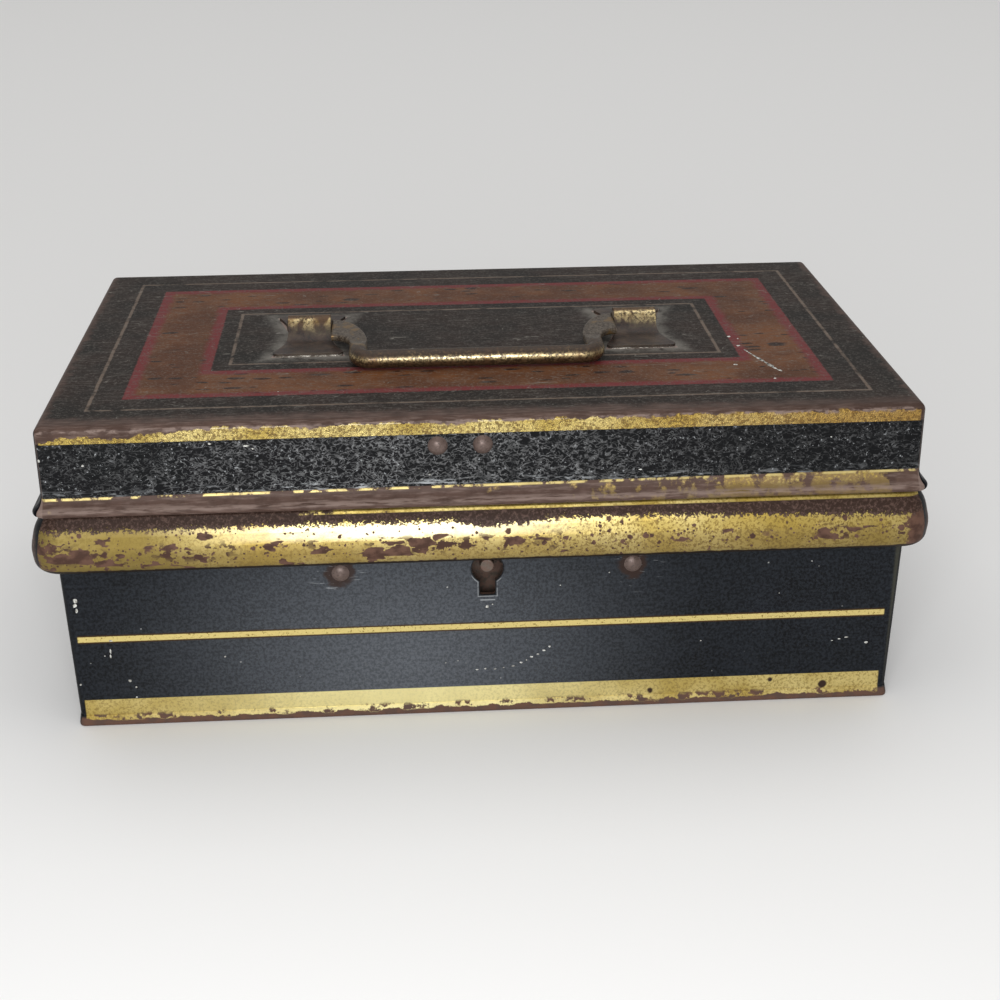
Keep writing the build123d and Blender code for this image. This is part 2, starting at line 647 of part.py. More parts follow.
def hinge_rivets(face_y, z, stack):
    """The four rivets that hold one kind of leaf on both hinges."""
    rivets = []
    for side in (-1, 1):
        for x, rivet_z in pair(side * HINGE_SPACING / 2, HINGE_RIVET_SPACING, z):
            rivets.append(back_rivet(x, face_y, rivet_z, stack))
    return Compound(rivets)


# ---------------------------------------------------------------- staple and lock

def lid_staple():
    """Plate inside the front apron, with a strap over the neck that ends in a hook."""
    apron_y = -APRON_Y + SHEET
    step_z = NECK_TOP_Z + STAPLE_NECK_GAP
    back_y = STAPLE_FRONT_Y + STAPLE_LOOP
    plate_top_z = STAPLE_HEIGHT + STAPLE_PLATE_HEIGHT / 2
    hook_r = (STAPLE_LOOP - STAPLE_LOOP_FLAT) / 2
    face = FilletPolyline(
        (apron_y, plate_top_z),
        (apron_y, step_z),
        (STAPLE_FRONT_Y, step_z),
        (STAPLE_FRONT_Y, STAPLE_LOW_Z),
        (back_y, STAPLE_LOW_Z),
        (back_y, STAPLE_LOW_Z + STAPLE_LOOP_HEIGHT),
        radius=[2 * STAPLE_SHEET, STAPLE_SHEET, hook_r, hook_r],
    )
    section = make_face(offset(face, amount=STAPLE_SHEET, side=Side.LEFT))
    strap = prism_x(section, STAPLE_X, STAPLE_STRAP)
    plate = Pos(STAPLE_X, STAPLE_HEIGHT) * RectangleRounded(
        STAPLE_PLATE_WIDTH, STAPLE_PLATE_HEIGHT, 2 * STAPLE_SHEET
    )
    staple = strap + prism_y(plate, apron_y, apron_y + STAPLE_SHEET)
    places = pair(STAPLE_X, STAPLE_RIVET_SPAN, STAPLE_HEIGHT)
    return staple - rivet_holes(places, apron_y, apron_y)


def case_rivet_places():
    """The four (x, z) places where the case's flanges are riveted."""
    middle_x = CASE_WIDTH / 2 + CASE_FLANGE / 2
    places = []
    for side in (-1, 1):
        for lift in (-CASE_RIVET_SPACING / 2, CASE_RIVET_SPACING / 2):
            places.append((side * middle_x, LOCK_HEIGHT + lift))
    return places


def lock_plate():
    """Back plate of the lock: a tab each side takes a rivet through the front wall."""
    middle = Pos(0, LOCK_HEIGHT + (CASE_HIGH - CASE_LOW) / 2) * RectangleRounded(
        CASE_WIDTH + 2 * CASE_FLANGE, CASE_HIGH + CASE_LOW, LOCK_PLATE_CORNER_R
    )
    tabs = Pos(0, LOCK_HEIGHT) * RectangleRounded(
        LOCK_PLATE_RIVET_SPAN + 2 * LOCK_TAB_MARGIN, LOCK_TAB_HEIGHT, LOCK_PLATE_CORNER_R
    )
    plate = prism_y(middle + tabs - keyhole_sketch(), PLATE_Y, CASE_Y)
    places = pair(0, LOCK_PLATE_RIVET_SPAN, LOCK_HEIGHT) + case_rivet_places()
    return plate - rivet_holes(places, PLATE_Y, CASE_Y)


def lock_case():
    """Pressed cap over the works, flanged to the plate, with a slot in its roof for the staple."""
    half_x = CASE_WIDTH / 2
    low_z = LOCK_HEIGHT - CASE_LOW
    high_z = LOCK_HEIGHT + CASE_HIGH
    back_y = CASE_Y + CASE_DEPTH
    cap = block((-half_x, half_x), (CASE_Y, back_y), (low_z, high_z))
    cap = fillet(cap.faces().sort_by(Axis.Y)[-1].edges(), CASE_CORNER_R)
    cap -= block(
        (-half_x + CASE_SHEET, half_x - CASE_SHEET),
        (CASE_Y, back_y - CASE_SHEET),
        (low_z + CASE_SHEET, high_z - CASE_SHEET),
    )
    flange_low = LOCK_HEIGHT - CASE_FLANGE_HEIGHT / 2
    for side in (-1, 1):
        span = sorted((side * (half_x - CASE_SHEET), side * (half_x + CASE_FLANGE)))
        cap += block(
            span, (CASE_Y, CASE_Y + CASE_SHEET), (flange_low, flange_low + CASE_FLANGE_HEIGHT)
        )
    slot_half = STAPLE_STRAP / 2 + SLOT_MARGIN
    cap -= block(
        (STAPLE_X - slot_half, STAPLE_X + slot_half),
        (CASE_Y, STAPLE_FRONT_Y + STAPLE_LOOP + SLOT_MARGIN),
        (high_z - CASE_SHEET - SHEET, high_z + CUT),
    )
    return cap - rivet_holes(case_rivet_places(), CASE_Y, CASE_Y)


def lock_bolt():
    """Sliding bolt: a bar on two stumps, with a talon for the key and a finger for the staple."""
    staple_right = STAPLE_X + STAPLE_STRAP / 2
    tip_x = staple_right + BOLT_STAPLE_GAP
    post_x = tip_x + BOLT_THROW
    finger_low = STAPLE_LOW_Z + STAPLE_SHEET + BOLT_FINGER_LIFT
    finger_top = finger_low + BOLT_FINGER_HEIGHT
    bar_low = BAR_TOP_Z - BOLT_BAR_HEIGHT
    bar_left = -STUMP_SPACING / 2 - BOLT_BAR_END
    bar_right = STUMP_SPACING / 2 + BOLT_THROW + BOLT_BAR_END
    outline = Polyline(
        (bar_left, bar_low), (bar_right, bar_low), (bar_right, BAR_TOP_Z),
        (post_x + BOLT_POST, BAR_TOP_Z), (post_x + BOLT_POST, finger_top),
        (tip_x, finger_top), (tip_x, finger_low),
        (post_x, finger_low), (post_x, BAR_TOP_Z), (bar_left, BAR_TOP_Z),
        close=True,
    )
    shape = make_face(outline)
    for stump_x in (-STUMP_SPACING / 2, STUMP_SPACING / 2):
        slot = SlotCenterToCenter(BOLT_THROW, 2 * STUMP_SLOT_R)
        shape -= Pos(stump_x + BOLT_THROW / 2, BAR_Z) * slot
    shape -= Pos(BOLT_THROW / 2, bar_low + TALON_DEPTH / 2) * Rectangle(TALON_WIDTH, TALON_DEPTH)
    return prism_y(shape, BOLT_Y - BOLT_THICKNESS / 2, BOLT_Y + BOLT_THICKNESS / 2)


def bolt_stumps():
    """Two fixed pins that the bolt slides on."""
    back_y = CASE_Y + CASE_DEPTH - CASE_SHEET
    return Compound([
        rod(STUMP_R, CASE_Y, back_y, x, BAR_Z) for x in (-STUMP_SPACING / 2, STUMP_SPACING / 2)
    ])


def bolt_spring():
    """Leaf spring from the case's side, bearing down on the bolt's bar."""
    wall_x = CASE_WIDTH / 2 - CASE_SHEET
    contact_x = STUMP_SPACING / 2
    contact_z = BAR_TOP_Z + BOLT_SPRING_GAP
    root_z = contact_z + SPRING_RISE
    face = FilletPolyline(
        (wall_x, root_z),
        (wall_x - SPRING_RISE, root_z),
        (contact_x, contact_z),
        (contact_x - SPRING_RISE / 2, contact_z + SPRING_RISE / 4),
        radius=[SPRING_RISE / 2, SPRING_RISE / 4],
    )
    section = make_face(offset(face, amount=SPRING_SHEET, side=Side.RIGHT))
    return prism_y(section, BOLT_Y - SPRING_WIDTH / 2, BOLT_Y + SPRING_WIDTH / 2)


def drill_pin():
    """Pin at the middle of the keyhole that a piped key turns on."""
    tip_y = PLATE_Y + DRILL_PIN_RECESS
    back_y = CASE_Y + CASE_DEPTH - CASE_SHEET
    pin = rod(DRILL_PIN_R, tip_y, back_y, 0, LOCK_HEIGHT)
    tip = pin.edges().filter_by(GeomType.CIRCLE).sort_by(Axis.Y)[0]
    return fillet(tip, DRILL_PIN_RECESS / 2)


# ---------------------------------------------------------------- assembly

def build_nodes():
    """Every sub-part by its node name."""
    front, end_right, end_left = body_panels()
    cover, lid_end_right, lid_end_left = lid_panels()
    nodes = {
        "body_front": front,
        "body_end_right": end_right,
        "body_end_left": end_left,
        "body_back": body_back(),
        "bottom_panel": bottom_panel(),
        "lid_cover": cover,
        "lid_end_right": lid_end_right,
        "lid_end_left": lid_end_left,
        "handle_bail": handle_bail(),
        "lid_staple": lid_staple(),
        "lock_plate": lock_plate(),
        "lock_case": lock_case(),
        "lock_bolt": lock_bolt(),
        "bolt_stumps": bolt_stumps(),
        "bolt_spring": bolt_spring(),
        "drill_pin": drill_pin(),
    }
    for name, side in (("left", -1), ("right", 1)):
        hinge_x = side * HINGE_SPACING / 2
        nodes[f"handle_ear_{name}"] = ear(side * EAR_SPACING / 2)
        nodes[f"hinge_body_leaf_{name}"] = body_leaf(hinge_x)
        nodes[f"hinge_lid_leaf_{name}"] = lid_leaf(hinge_x)
        nodes[f"hinge_pin_{name}"] = hinge_pin(hinge_x)
    nodes["hinge_body_rivets"] = hinge_rivets(
        BACK_Y + HINGE_LEAF, body_leaf_rivet_z(), SHEET + HINGE_LEAF
    )
    nodes["hinge_lid_rivets"] = hinge_rivets(
        APRON_Y + HINGE_LEAF, lid_leaf_rivet_z(), SHEET + HINGE_LEAF
    )
    nodes["staple_rivets"] = Compound([
        front_rivet(
            x, -APRON_Y, z, FRONT_RIVET_HEAD_R, FRONT_RIVET_HEAD, SHEET + STAPLE_SHEET
        )
        for x, z in pair(STAPLE_X, STAPLE_RIVET_SPAN, STAPLE_HEIGHT)
    ])
    nodes["lock_plate_rivets"] = Compound([
        front_rivet(x, FRONT_Y, z, PLATE_RIVET_HEAD_R, PLATE_RIVET_HEAD, SHEET + LOCK_PLATE)
        for x, z in pair(0, LOCK_PLATE_RIVET_SPAN, LOCK_HEIGHT)
    ])
    nodes["lock_case_rivets"] = Compound([
        back_rivet(x, CASE_Y + CASE_SHEET, z, CASE_SHEET + LOCK_PLATE, tailed=False)
        for x, z in case_rivet_places()
    ])
    return nodes


os.makedirs("parts", exist_ok=True)
for node_name, solid in build_nodes().items():
    export_step(solid, f"parts/{node_name}.step")
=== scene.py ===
import math
import random

import bmesh
import bpy
from mathutils import Matrix, Vector

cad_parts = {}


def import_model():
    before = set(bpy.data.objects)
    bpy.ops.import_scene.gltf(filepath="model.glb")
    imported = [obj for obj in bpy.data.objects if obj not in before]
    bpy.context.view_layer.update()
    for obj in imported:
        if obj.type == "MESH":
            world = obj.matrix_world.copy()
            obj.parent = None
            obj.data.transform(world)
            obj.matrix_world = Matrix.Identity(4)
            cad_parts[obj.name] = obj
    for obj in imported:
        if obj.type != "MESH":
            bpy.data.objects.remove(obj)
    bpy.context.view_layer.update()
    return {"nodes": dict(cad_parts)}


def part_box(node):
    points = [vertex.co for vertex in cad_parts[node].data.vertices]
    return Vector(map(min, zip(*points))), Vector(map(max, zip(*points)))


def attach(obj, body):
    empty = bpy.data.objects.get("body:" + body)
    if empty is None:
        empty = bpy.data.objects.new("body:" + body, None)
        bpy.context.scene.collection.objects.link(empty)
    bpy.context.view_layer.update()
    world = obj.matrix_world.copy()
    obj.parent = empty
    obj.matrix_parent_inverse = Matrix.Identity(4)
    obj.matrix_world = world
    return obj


# A japanned tin deed box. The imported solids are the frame; this script adds their finish, the
# solder round the handle's ears, chips of paint, a floor, the light and the camera.
# Blender works in metres. The finishes and the added pieces are drawn in millimetres, in the
# box's own frame: x to the right, y to the back, z up, with the floor at z = 0.

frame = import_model()
nodes = frame["nodes"]
MM = 0.001

# ---------------------------------------------------------------- places of the solids, in mm


def box_mm(node):
    """Lowest and highest corner of a solid, in millimetres."""
    low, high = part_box(node)
    return low / MM, high / MM


lid_low, lid_high = box_mm("lid_cover")
ear_low, ear_high = box_mm("handle_ear_right")
plate_rivets_low, plate_rivets_high = box_mm("lock_plate_rivets")
pin_low, pin_high = box_mm("drill_pin")

LID_TOP = lid_high.z
APRON_X = 127.0                      # half the lid's length and width, outside its aprons
APRON_Y = 77.0
RIM_HEIGHT = 6.5
RIM_Z = lid_low.z
COVE_Z = RIM_Z + RIM_HEIGHT          # where the flat of the apron turns into the rim's cove
BEAD_TOP = RIM_Z - 0.3
BEAD_FOOT = BEAD_TOP - 17.4
WALL_Y = -74.9                       # the body's front wall
LOCK_Z = (pin_low.z + pin_high.z) / 2
RIVET_HEAD = 2.6
PLATE_RIVET_X = (plate_rivets_high.x - plate_rivets_low.x) / 2 - RIVET_HEAD
EAR_X = (ear_low.x + ear_high.x) / 2
EAR_FOOT = (ear_high.x - ear_low.x) / 2
EAR_WAIST = 6.75                     # half the ear's width over the handle
EAR_LOOP = 4.5                       # where the foot starts, out from the handle's axis
EAR_END = ear_high.y
EAR_CORNER = 1.6

# ---------------------------------------------------------------- places in the finish, in mm

BAND_OUT = 21.9                      # the lid's red band, in from the lid's edges
BAND_IN = 45.4
BAND_EDGE = 3.2                      # its red borders
PINSTRIPES = (13.0, 50.9)
PINSTRIPE_HALF = 0.5
BEND_FOOT = 92.3                     # the lid's front bend, and the gold line under it
LID_LINE_FOOT = 92.1
LID_LINE_TOP = 95.6
RIM_GOLD_END = 118
BEAD_SPOTS_Z = 59.6                  # the bead's row of rust, its shoulder and its gold line
BEAD_SHOULDER_Z = 66.6
BEAD_LINE_FOOT = 69.0
BEAD_LINE_TOP = 70.6
BEAD_BARE_LEFT = -128.6
BEAD_BARE_RIGHT = 123.5
LINES_LEFT = -121.6                  # ends of the gold lines on the body's front
LINES_RIGHT = 120.8
THIN_LINE_FOOT = 28.3
THIN_LINE_TOP = 30.05
STRIPE_FOOT = 1.9
STRIPE_TOP = 8.7
HEM_TOP = 2.8
BARE_EDGE_X = 122.6
KEYHOLE_ROUND = 4.7
KEYHOLE_SLOT_HALF = 2.35
KEYHOLE_SLOT_MIDDLE = 4.35
RUBBED_REACH = 130.0                 # what stands out further than this is rubbed brown
ARMS_Y = -27.0                       # where the handle's arms end and its grip starts

SEAM_SIDES = 6                       # solder round the ears' feet
SEAM_START_Y = 8.0
SEAM_PITCH = 0.6
SEAM_SIDE_POINTS = 18
SEAM_END_STEPS = 18
SEAM_WANDER = (-0.12, 0.16)
SEAM_FIRST = 0.3
SEAM_STEP = 0.14
SEAM_LEAST = 0.1
SEAM_MOST = 0.55
SEAM_FLATNESS = 0.8
FLECK_SIDES = 9                      # chips of paint
FLECK_REACH = (0.6, 1.15)
FLECK_CROWN = 0.8
FLECK_PROUD = 0.1
FLECK_ROOT = 0.03
SCRATCH_OVERLAP = (1.2, 1.7)
SCRATCH_WIDTH = (0.7, 1.6)
CHANCE_SEED = 11

# ---------------------------------------------------------------- colours


def rgb(code):
    """A colour written as #rrggbb, as the linear numbers that shaders take."""
    parts = [int(code[i:i + 2], 16) / 255 for i in (1, 3, 5)]
    linear = [c / 12.92 if c <= 0.04045 else ((c + 0.055) / 1.055) ** 2.4 for c in parts]
    return (*linear, 1.0)


BLACK = rgb("#0c0d0f")
BLACK_BLUE = rgb("#131519")
SLATE = rgb("#31363d")
PAINTED_SHEEN_GREY = rgb("#5d6167")
CHARCOAL = rgb("#201d1b")
CHARCOAL_WARM = rgb("#2b211d")
DUST = rgb("#85817a")
SCRATCH = rgb("#b6babd")
WORM_GLINT = rgb("#98999a")
SPECK_AND_SHEEN_GREY = rgb("#3c3c3e")
RED = rgb("#6b2a2c")
RED_BROWN = rgb("#53321f")
RED_OCHRE = rgb("#6d4427")
FLECK = rgb("#2b1c17")
PINSTRIPE = rgb("#78695d")
GOLD = rgb("#ad9443")
GOLD_DEEP = rgb("#7a6128")
GOLD_PALE = rgb("#d3c07c")
GOLD_PAINTED_GLINT = rgb("#efe6c4")
LID_GOLD_DULL = rgb("#8a6428")
LID_GOLD_GRAIN = rgb("#5c4218")
RIM_GOLD = rgb("#c4b277")
RIM_TAN = rgb("#8d7546")
RIM_TAN_DARK = rgb("#86704c")
BEAD_GOLD_END = rgb("#7c6c3d")
BEAD_GOLD_GRAIN = rgb("#6b5527")
BEAD_SHADE = rgb("#241c17")
LINE_SHADE = rgb("#3e2b16")
STRIPE_PAINTED_SHEEN = rgb("#fbf2b4")
BARE_EDGE = rgb("#45443a")
WORN_BROWN = rgb("#54423b")
WORN_LIGHT = rgb("#8d7b73")
RUST = rgb("#5f463b")
RUST_DARK = rgb("#33251f")
BEAD_RUST = rgb("#453129")
BRASS = rgb("#84683f")
BRASS_PALE = rgb("#dcc48a")
BRASS_PAINTED_HIGHLIGHT = rgb("#ecd7a2")
BRASS_TARNISH_AND_SHADE = rgb("#4a3426")
BRASS_DARK = rgb("#35271a")
BRASS_GREY = rgb("#544a40")
GRIP_CROWN_SHADE = rgb("#2b1e15")
ARM_PALE = rgb("#675d51")
ARM_GREY = rgb("#4f463c")
ARM_DARK = rgb("#33281f")
FOOT_PALE = rgb("#3f3026")
FOOT_BROWN = rgb("#35251f")
FOOT_BLACK = rgb("#150e0b")
STEEL = rgb("#665b52")
STEEL_DARK = rgb("#3d342e")
RIVET_PALE = rgb("#71605a")
RIVET_DARK = rgb("#4c3d37")
SOLDER_PALE = rgb("#b9b4ab")
SOLDER_DARK = rgb("#5f584f")
WHITE_PAINT = rgb("#d9dad6")
PAINT_DIRTY = rgb("#97958e")

JAPAN_SPECULAR = 0.1
PAINT_SPECULAR = 0.3
LACQUER_ROUGH = 0.16

# ---------------------------------------------------------------- shader building

NOISE_OFFSET = (1.0, 1.7, 0.6)       # the way in which shift moves a noise
WOBBLE_SCALE = 2.2


class Graph:
    """Builds the nodes of one material, in millimetres. Values are floats, tuples or sockets."""

    def __init__(self, name):
        self.material = bpy.data.materials.new(name)
        self.material.use_nodes = True
        self.tree = self.material.node_tree
        self.tree.nodes.clear()
        coords = self.add("ShaderNodeTexCoord")
        scaled = self.add("ShaderNodeVectorMath", operation="SCALE")
        self.put(scaled.inputs[0], coords.outputs["Object"])
        scaled.inputs["Scale"].default_value = 1 / MM
        self.place = scaled.outputs[0]
        self.x, self.y, self.z = self.split(self.place)
        self.nx, self.ny, self.nz = self.split(coords.outputs["Normal"])

    def add(self, kind, **settings):
        """A new node."""
        node = self.tree.nodes.new(kind)
        for key, value in settings.items():
            setattr(node, key, value)
        return node

    def put(self, socket, value):
        """Sets a socket of a node, or links another one to it."""
        if isinstance(value, bpy.types.NodeSocket):
            self.tree.links.new(value, socket)
        else:
            socket.default_value = value

    def split(self, vector):
        node = self.add("ShaderNodeSeparateXYZ")
        self.put(node.inputs[0], vector)
        return node.outputs[0], node.outputs[1], node.outputs[2]

    def math(self, operation, a, b=0.0):
        node = self.add("ShaderNodeMath", operation=operation)
        self.put(node.inputs[0], a)
        self.put(node.inputs[1], b)
        return node.outputs[0]

    def plus(self, a, b):
        return self.math("ADD", a, b)

    def minus(self, a, b):
        return self.math("SUBTRACT", a, b)

    def times(self, a, b):
        return self.math("MULTIPLY", a, b)

    def least(self, a, b):
        return self.math("MINIMUM", a, b)

    def most(self, a, b):
        return self.math("MAXIMUM", a, b)

    def size(self, a):
        return self.math("ABSOLUTE", a)

    def span(self, a, b):
        """Length of the vector (a, b)."""
        return self.math("SQRT", self.plus(self.times(a, a), self.times(b, b)))

    def swing(self, field, amount):
        """A noise about 0.5 turned into a shift of up to amount each way."""
        return self.times(self.minus(field, 0.5), 2 * amount)

    def both(self, *masks):
        """Where every mask holds."""
        total = masks[0]
        for mask in masks[1:]:
            total = self.times(total, mask)
        return total

    def above(self, value, edge, soft=0.15):
        """Mask that rises from 0 to 1 as value passes edge, within soft each side."""
        node = self.add("ShaderNodeMapRange", interpolation_type="SMOOTHSTEP")
        self.put(node.inputs["Value"], self.minus(value, edge))
        node.inputs["From Min"].default_value = -soft
        node.inputs["From Max"].default_value = soft
        return node.outputs[0]

    def below(self, value, edge, soft=0.15):
        """Mask that falls from 1 to 0 as value passes edge."""
        return self.above(self.minus(edge, value), 0.0, soft)

    def within(self, value, low, high, soft=0.15):
        """Mask that holds from low to high."""
        return self.both(self.above(value, low, soft), self.below(value, high, soft))

    def stretch(self, factors, shift):
        """The place, stretched along each axis and moved to another part of the noise."""
        node = self.add("ShaderNodeVectorMath", operation="MULTIPLY_ADD")
        self.put(node.inputs[0], self.place)
        node.inputs[1].default_value = factors
        node.inputs[2].default_value = [shift * part for part in NOISE_OFFSET]
        return node.outputs[0]

    def noise(self, grain, factors=(1, 1, 1), shift=0.0, detail=2.0, rough=0.5, twist=0.0):
        """Noise about 0.5 whose lumps are about grain millimetres wide."""
        node = self.add("ShaderNodeTexNoise")
        self.put(node.inputs["Vector"], self.stretch(factors, shift))
        node.inputs["Scale"].default_value = 1 / grain
        node.inputs["Detail"].default_value = detail
        node.inputs["Roughness"].default_value = rough
        node.inputs["Distortion"].default_value = twist
        return node.outputs["Fac"]

    def spots(self, grain, size, soft, shift, factors=(1, 1, 1), wobble=0.0):
        """Spots, one in a cell of grain millimetres, and the random number of each."""
        vector = self.stretch(factors, shift)
        if wobble:
            field = self.add("ShaderNodeTexNoise")
            self.put(field.inputs["Vector"], vector)
            field.inputs["Scale"].default_value = WOBBLE_SCALE / grain
            field.inputs["Detail"].default_value = 2.0
            moved = self.add("ShaderNodeVectorMath", operation="MULTIPLY_ADD")
            self.put(moved.inputs[0], field.outputs["Color"])
            moved.inputs[1].default_value = (wobble * grain,) * 3
            self.put(moved.inputs[2], vector)
            vector = moved.outputs[0]
        cells = self.add("ShaderNodeTexVoronoi")
        self.put(cells.inputs["Vector"], vector)
        cells.inputs["Scale"].default_value = 1 / grain
        reach, pick, _ = self.split(cells.outputs["Color"])
        return self.below(cells.outputs["Distance"], self.times(reach, size), soft), pick

    def hairs(self, grain, width, factors, shift, twist):
        """Thin wandering lines: the level line of a noise."""
        field = self.noise(grain, factors, shift, detail=1.0, twist=twist)
        return self.below(self.size(self.minus(field, 0.5)), width, width * 0.8)

    def mix(self, mask, first, second):
        """Colour that turns from first to second by a mask."""
        node = self.add("ShaderNodeMix", data_type="RGBA")
        self.put(node.inputs[0], mask)
        self.put(node.inputs[6], first)
        self.put(node.inputs[7], second)
        return node.outputs[2]

    def blend(self, mask, first, second):
        """Number that turns from first to second by a mask."""
        node = self.add("ShaderNodeMix", data_type="FLOAT")
        self.put(node.inputs[0], mask)
        self.put(node.inputs[2], first)
        self.put(node.inputs[3], second)
        return node.outputs[0]


class Finish:
    """Layers of finish, each put over the ones before it by a mask."""

    def __init__(self, graph, colour, rough, metal=0.0):
        self.graph = graph
        self.colour = colour
        self.rough = rough
        self.metal = metal
        self.height = 0.0
        self.lacquer = 0.0

    def over(self, mask, colour, rough, metal=0.0, lacquer=0.0):
        """Another layer, where the mask holds."""
        g = self.graph
        self.lacquer = g.blend(mask, self.lacquer, lacquer)
        self.colour = g.mix(mask, self.colour, colour)
        self.rough = g.blend(mask, self.rough, rough)
        self.metal = g.blend(mask, self.metal, metal)

    def tint(self, mask, colour):
        """Another colour for the surface that is there."""
        self.colour = self.graph.mix(mask, self.colour, colour)

    def lift(self, amount):
        """Adds to the height, in millimetres."""
        self.height = self.graph.plus(self.height, amount)

    def material(self, specular=0.5):
        """The material with all the layers so far."""
        g = self.graph
        shader = g.add("ShaderNodeBsdfPrincipled")
        bump = g.add("ShaderNodeBump")
        bump.inputs["Distance"].default_value = MM
        g.put(bump.inputs["Height"], self.height)
        g.put(shader.inputs["Base Color"], self.colour)
        g.put(shader.inputs["Roughness"], self.rough)
        g.put(shader.inputs["Metallic"], self.metal)
        g.put(shader.inputs["Normal"], bump.outputs[0])
        g.put(shader.inputs["Coat Weight"], self.lacquer)
        shader.inputs["Coat Roughness"].default_value = LACQUER_ROUGH
        shader.inputs["Specular IOR Level"].default_value = specular
        output = g.add("ShaderNodeOutputMaterial")
        g.tree.links.new(shader.outputs[0], output.inputs[0])
        return g.material


# ---------------------------------------------------------------- japan, gold and their wear


class Wear:
    """The noises that all the wear of one painted sheet shares."""

    def __init__(self, g):
        self.cloud = g.noise(18, shift=3, detail=3)
        self.ragged = g.noise(5, shift=23, detail=5, rough=0.64)
        self.patch = g.noise(2.6, factors=(0.7, 1, 1), shift=63, detail=4, rough=0.55)
        self.speck = g.noise(0.9, shift=8, detail=3, rough=0.7)
        self.streak = g.noise(0.9, factors=(0.14, 1.1, 1.1), shift=5, detail=4, rough=0.62)


def japan(g, wear, colour, second):
    """Old black japan: slightly mottled, with a fine orange-peel surface."""
    finish = Finish(g, g.mix(g.above(wear.cloud, 0.5, 0.18), colour, second), 0.4)
    finish.rough = g.blend(wear.speck, 0.3, 0.52)
    finish.lift(g.swing(wear.cloud, 0.25))
    finish.lift(g.swing(wear.speck, 0.022))
    return finish


def gold_leaf(g, wear):
    """Colour of worn gold lacquer."""
    colour = g.mix(g.above(wear.cloud, 0.5, 0.2), GOLD, GOLD_PALE)
    return g.mix(g.times(g.above(wear.speck, 0.54, 0.08), 0.6), colour, GOLD_DEEP)


def brown_wear(g, wear):
    """Colour of japan worn down to brown varnish and old iron."""
    colour = g.mix(g.times(g.above(wear.ragged, 0.5, 0.15), 0.45), WORN_BROWN, RUST_DARK)
    return g.mix(g.times(g.above(wear.streak, 0.57, 0.12), 0.3), colour, WORN_LIGHT)


# ---------------------------------------------------------------- the lid


def ear_gap(g):
    """Distance from the outline of the nearer ear's feet, in the lid's plane."""
    along = g.size(g.y)
    slope = (EAR_FOOT - EAR_WAIST) / (EAR_END - EAR_LOOP)
    flare = g.times(g.most(g.minus(along, EAR_LOOP), 0.0), slope)
    beside = g.minus(g.size(g.minus(g.size(g.x), EAR_X)), g.plus(flare, EAR_WAIST))
    return g.most(beside, g.minus(along, EAR_END))


def lid_top_pattern(g, finish, wear, top):
    """Pinstripes and a red band, each set in evenly from the lid's edges."""
    inset = g.least(g.minus(APRON_X, g.size(g.x)), g.minus(APRON_Y, g.size(g.y)))
    edge = g.plus(inset, g.swing(wear.patch, 0.35))
    band = g.both(g.within(edge, BAND_OUT, BAND_IN, 0.3), top)
    cloudy = g.above(g.plus(wear.cloud, g.swing(wear.streak, 0.25)), 0.52, 0.16)
    centre = g.mix(cloudy, RED_BROWN, RED_OCHRE)
    flecks, pick = g.spots(grain=4.2, size=0.4, soft=0.06, shift=31,
                           factors=(0.5, 1.6, 1), wobble=0.4)
    centre = g.mix(g.both(flecks, g.above(pick, 0.3, 0.05)), centre, FLECK)
    centre = g.mix(g.times(g.above(wear.streak, 0.55, 0.1), 0.4), centre, FLECK)
    margin = g.least(g.minus(edge, BAND_OUT), g.minus(BAND_IN, edge))
    margin = g.plus(margin, g.swing(wear.ragged, 2.0))
    red = g.mix(g.times(g.above(wear.speck, 0.55, 0.1), 0.35), RED, FLECK)
    finish.over(band, g.mix(g.above(margin, BAND_EDGE, 1.3), red, centre), rough=0.5)
    kept = g.above(g.plus(wear.ragged, g.swing(wear.cloud, 0.2)), 0.4, 0.12)
    for place in PINSTRIPES:
        line = g.within(edge, place - PINSTRIPE_HALF, place + PINSTRIPE_HALF, 0.2)
        finish.over(g.both(line, top, kept, 0.7), PINSTRIPE, rough=0.5)


def lid_top_wear(g, finish, wear, top):
    """Dust, grain and nicks on the top, and the pale halo round the ears' feet."""
    haze = g.above(g.plus(wear.cloud, g.swing(wear.ragged, 0.2)), 0.46, 0.15)
    finish.tint(g.both(g.above(wear.streak, 0.57, 0.07), haze, top, 0.16), DUST)
    finish.tint(g.both(g.above(wear.speck, 0.58, 0.06), top, 0.22), DUST)
    nicks = g.hairs(grain=9, width=0.004, factors=(0.5, 1.6, 1), shift=37, twist=0.8)
    finish.tint(g.both(nicks, g.above(wear.ragged, 0.55, 0.05), top, 0.7), DUST)
    gap = ear_gap(g)
    halo = g.both(g.below(gap, 3.0, 3.4), g.above(wear.ragged, 0.42, 0.14), top)
    finish.tint(g.times(halo, 0.75), DUST)
    finish.over(g.both(g.within(gap, -0.6, 0.5, 0.25), top), WORN_LIGHT, rough=0.4)


def lid_bends(g, finish, wear, top, brown):
    """Japan worn brown along the lid's side, back and front bends."""
    wander = g.swing(wear.ragged, 3.6)
    from_side = g.plus(g.minus(APRON_X, g.size(g.x)), wander)
    finish.over(g.both(g.below(from_side, 2.6, 1.5), top, 0.7), brown, rough=0.5)
    from_back = g.plus(g.minus(APRON_Y, g.y), wander)
    finish.over(g.both(g.below(from_back, 1.6, 1.2), top, 0.6), brown, rough=0.5)
    from_front = g.plus(g.plus(g.y, APRON_Y), wander)
    bend = g.both(g.below(from_front, 6.0, 3.0), g.above(g.z, BEND_FOOT, 0.3))
    shade = g.times(g.above(g.x, 70, 60), 0.45)
    finish.over(g.times(bend, 0.94), g.mix(shade, brown, RUST_DARK), rough=0.45)


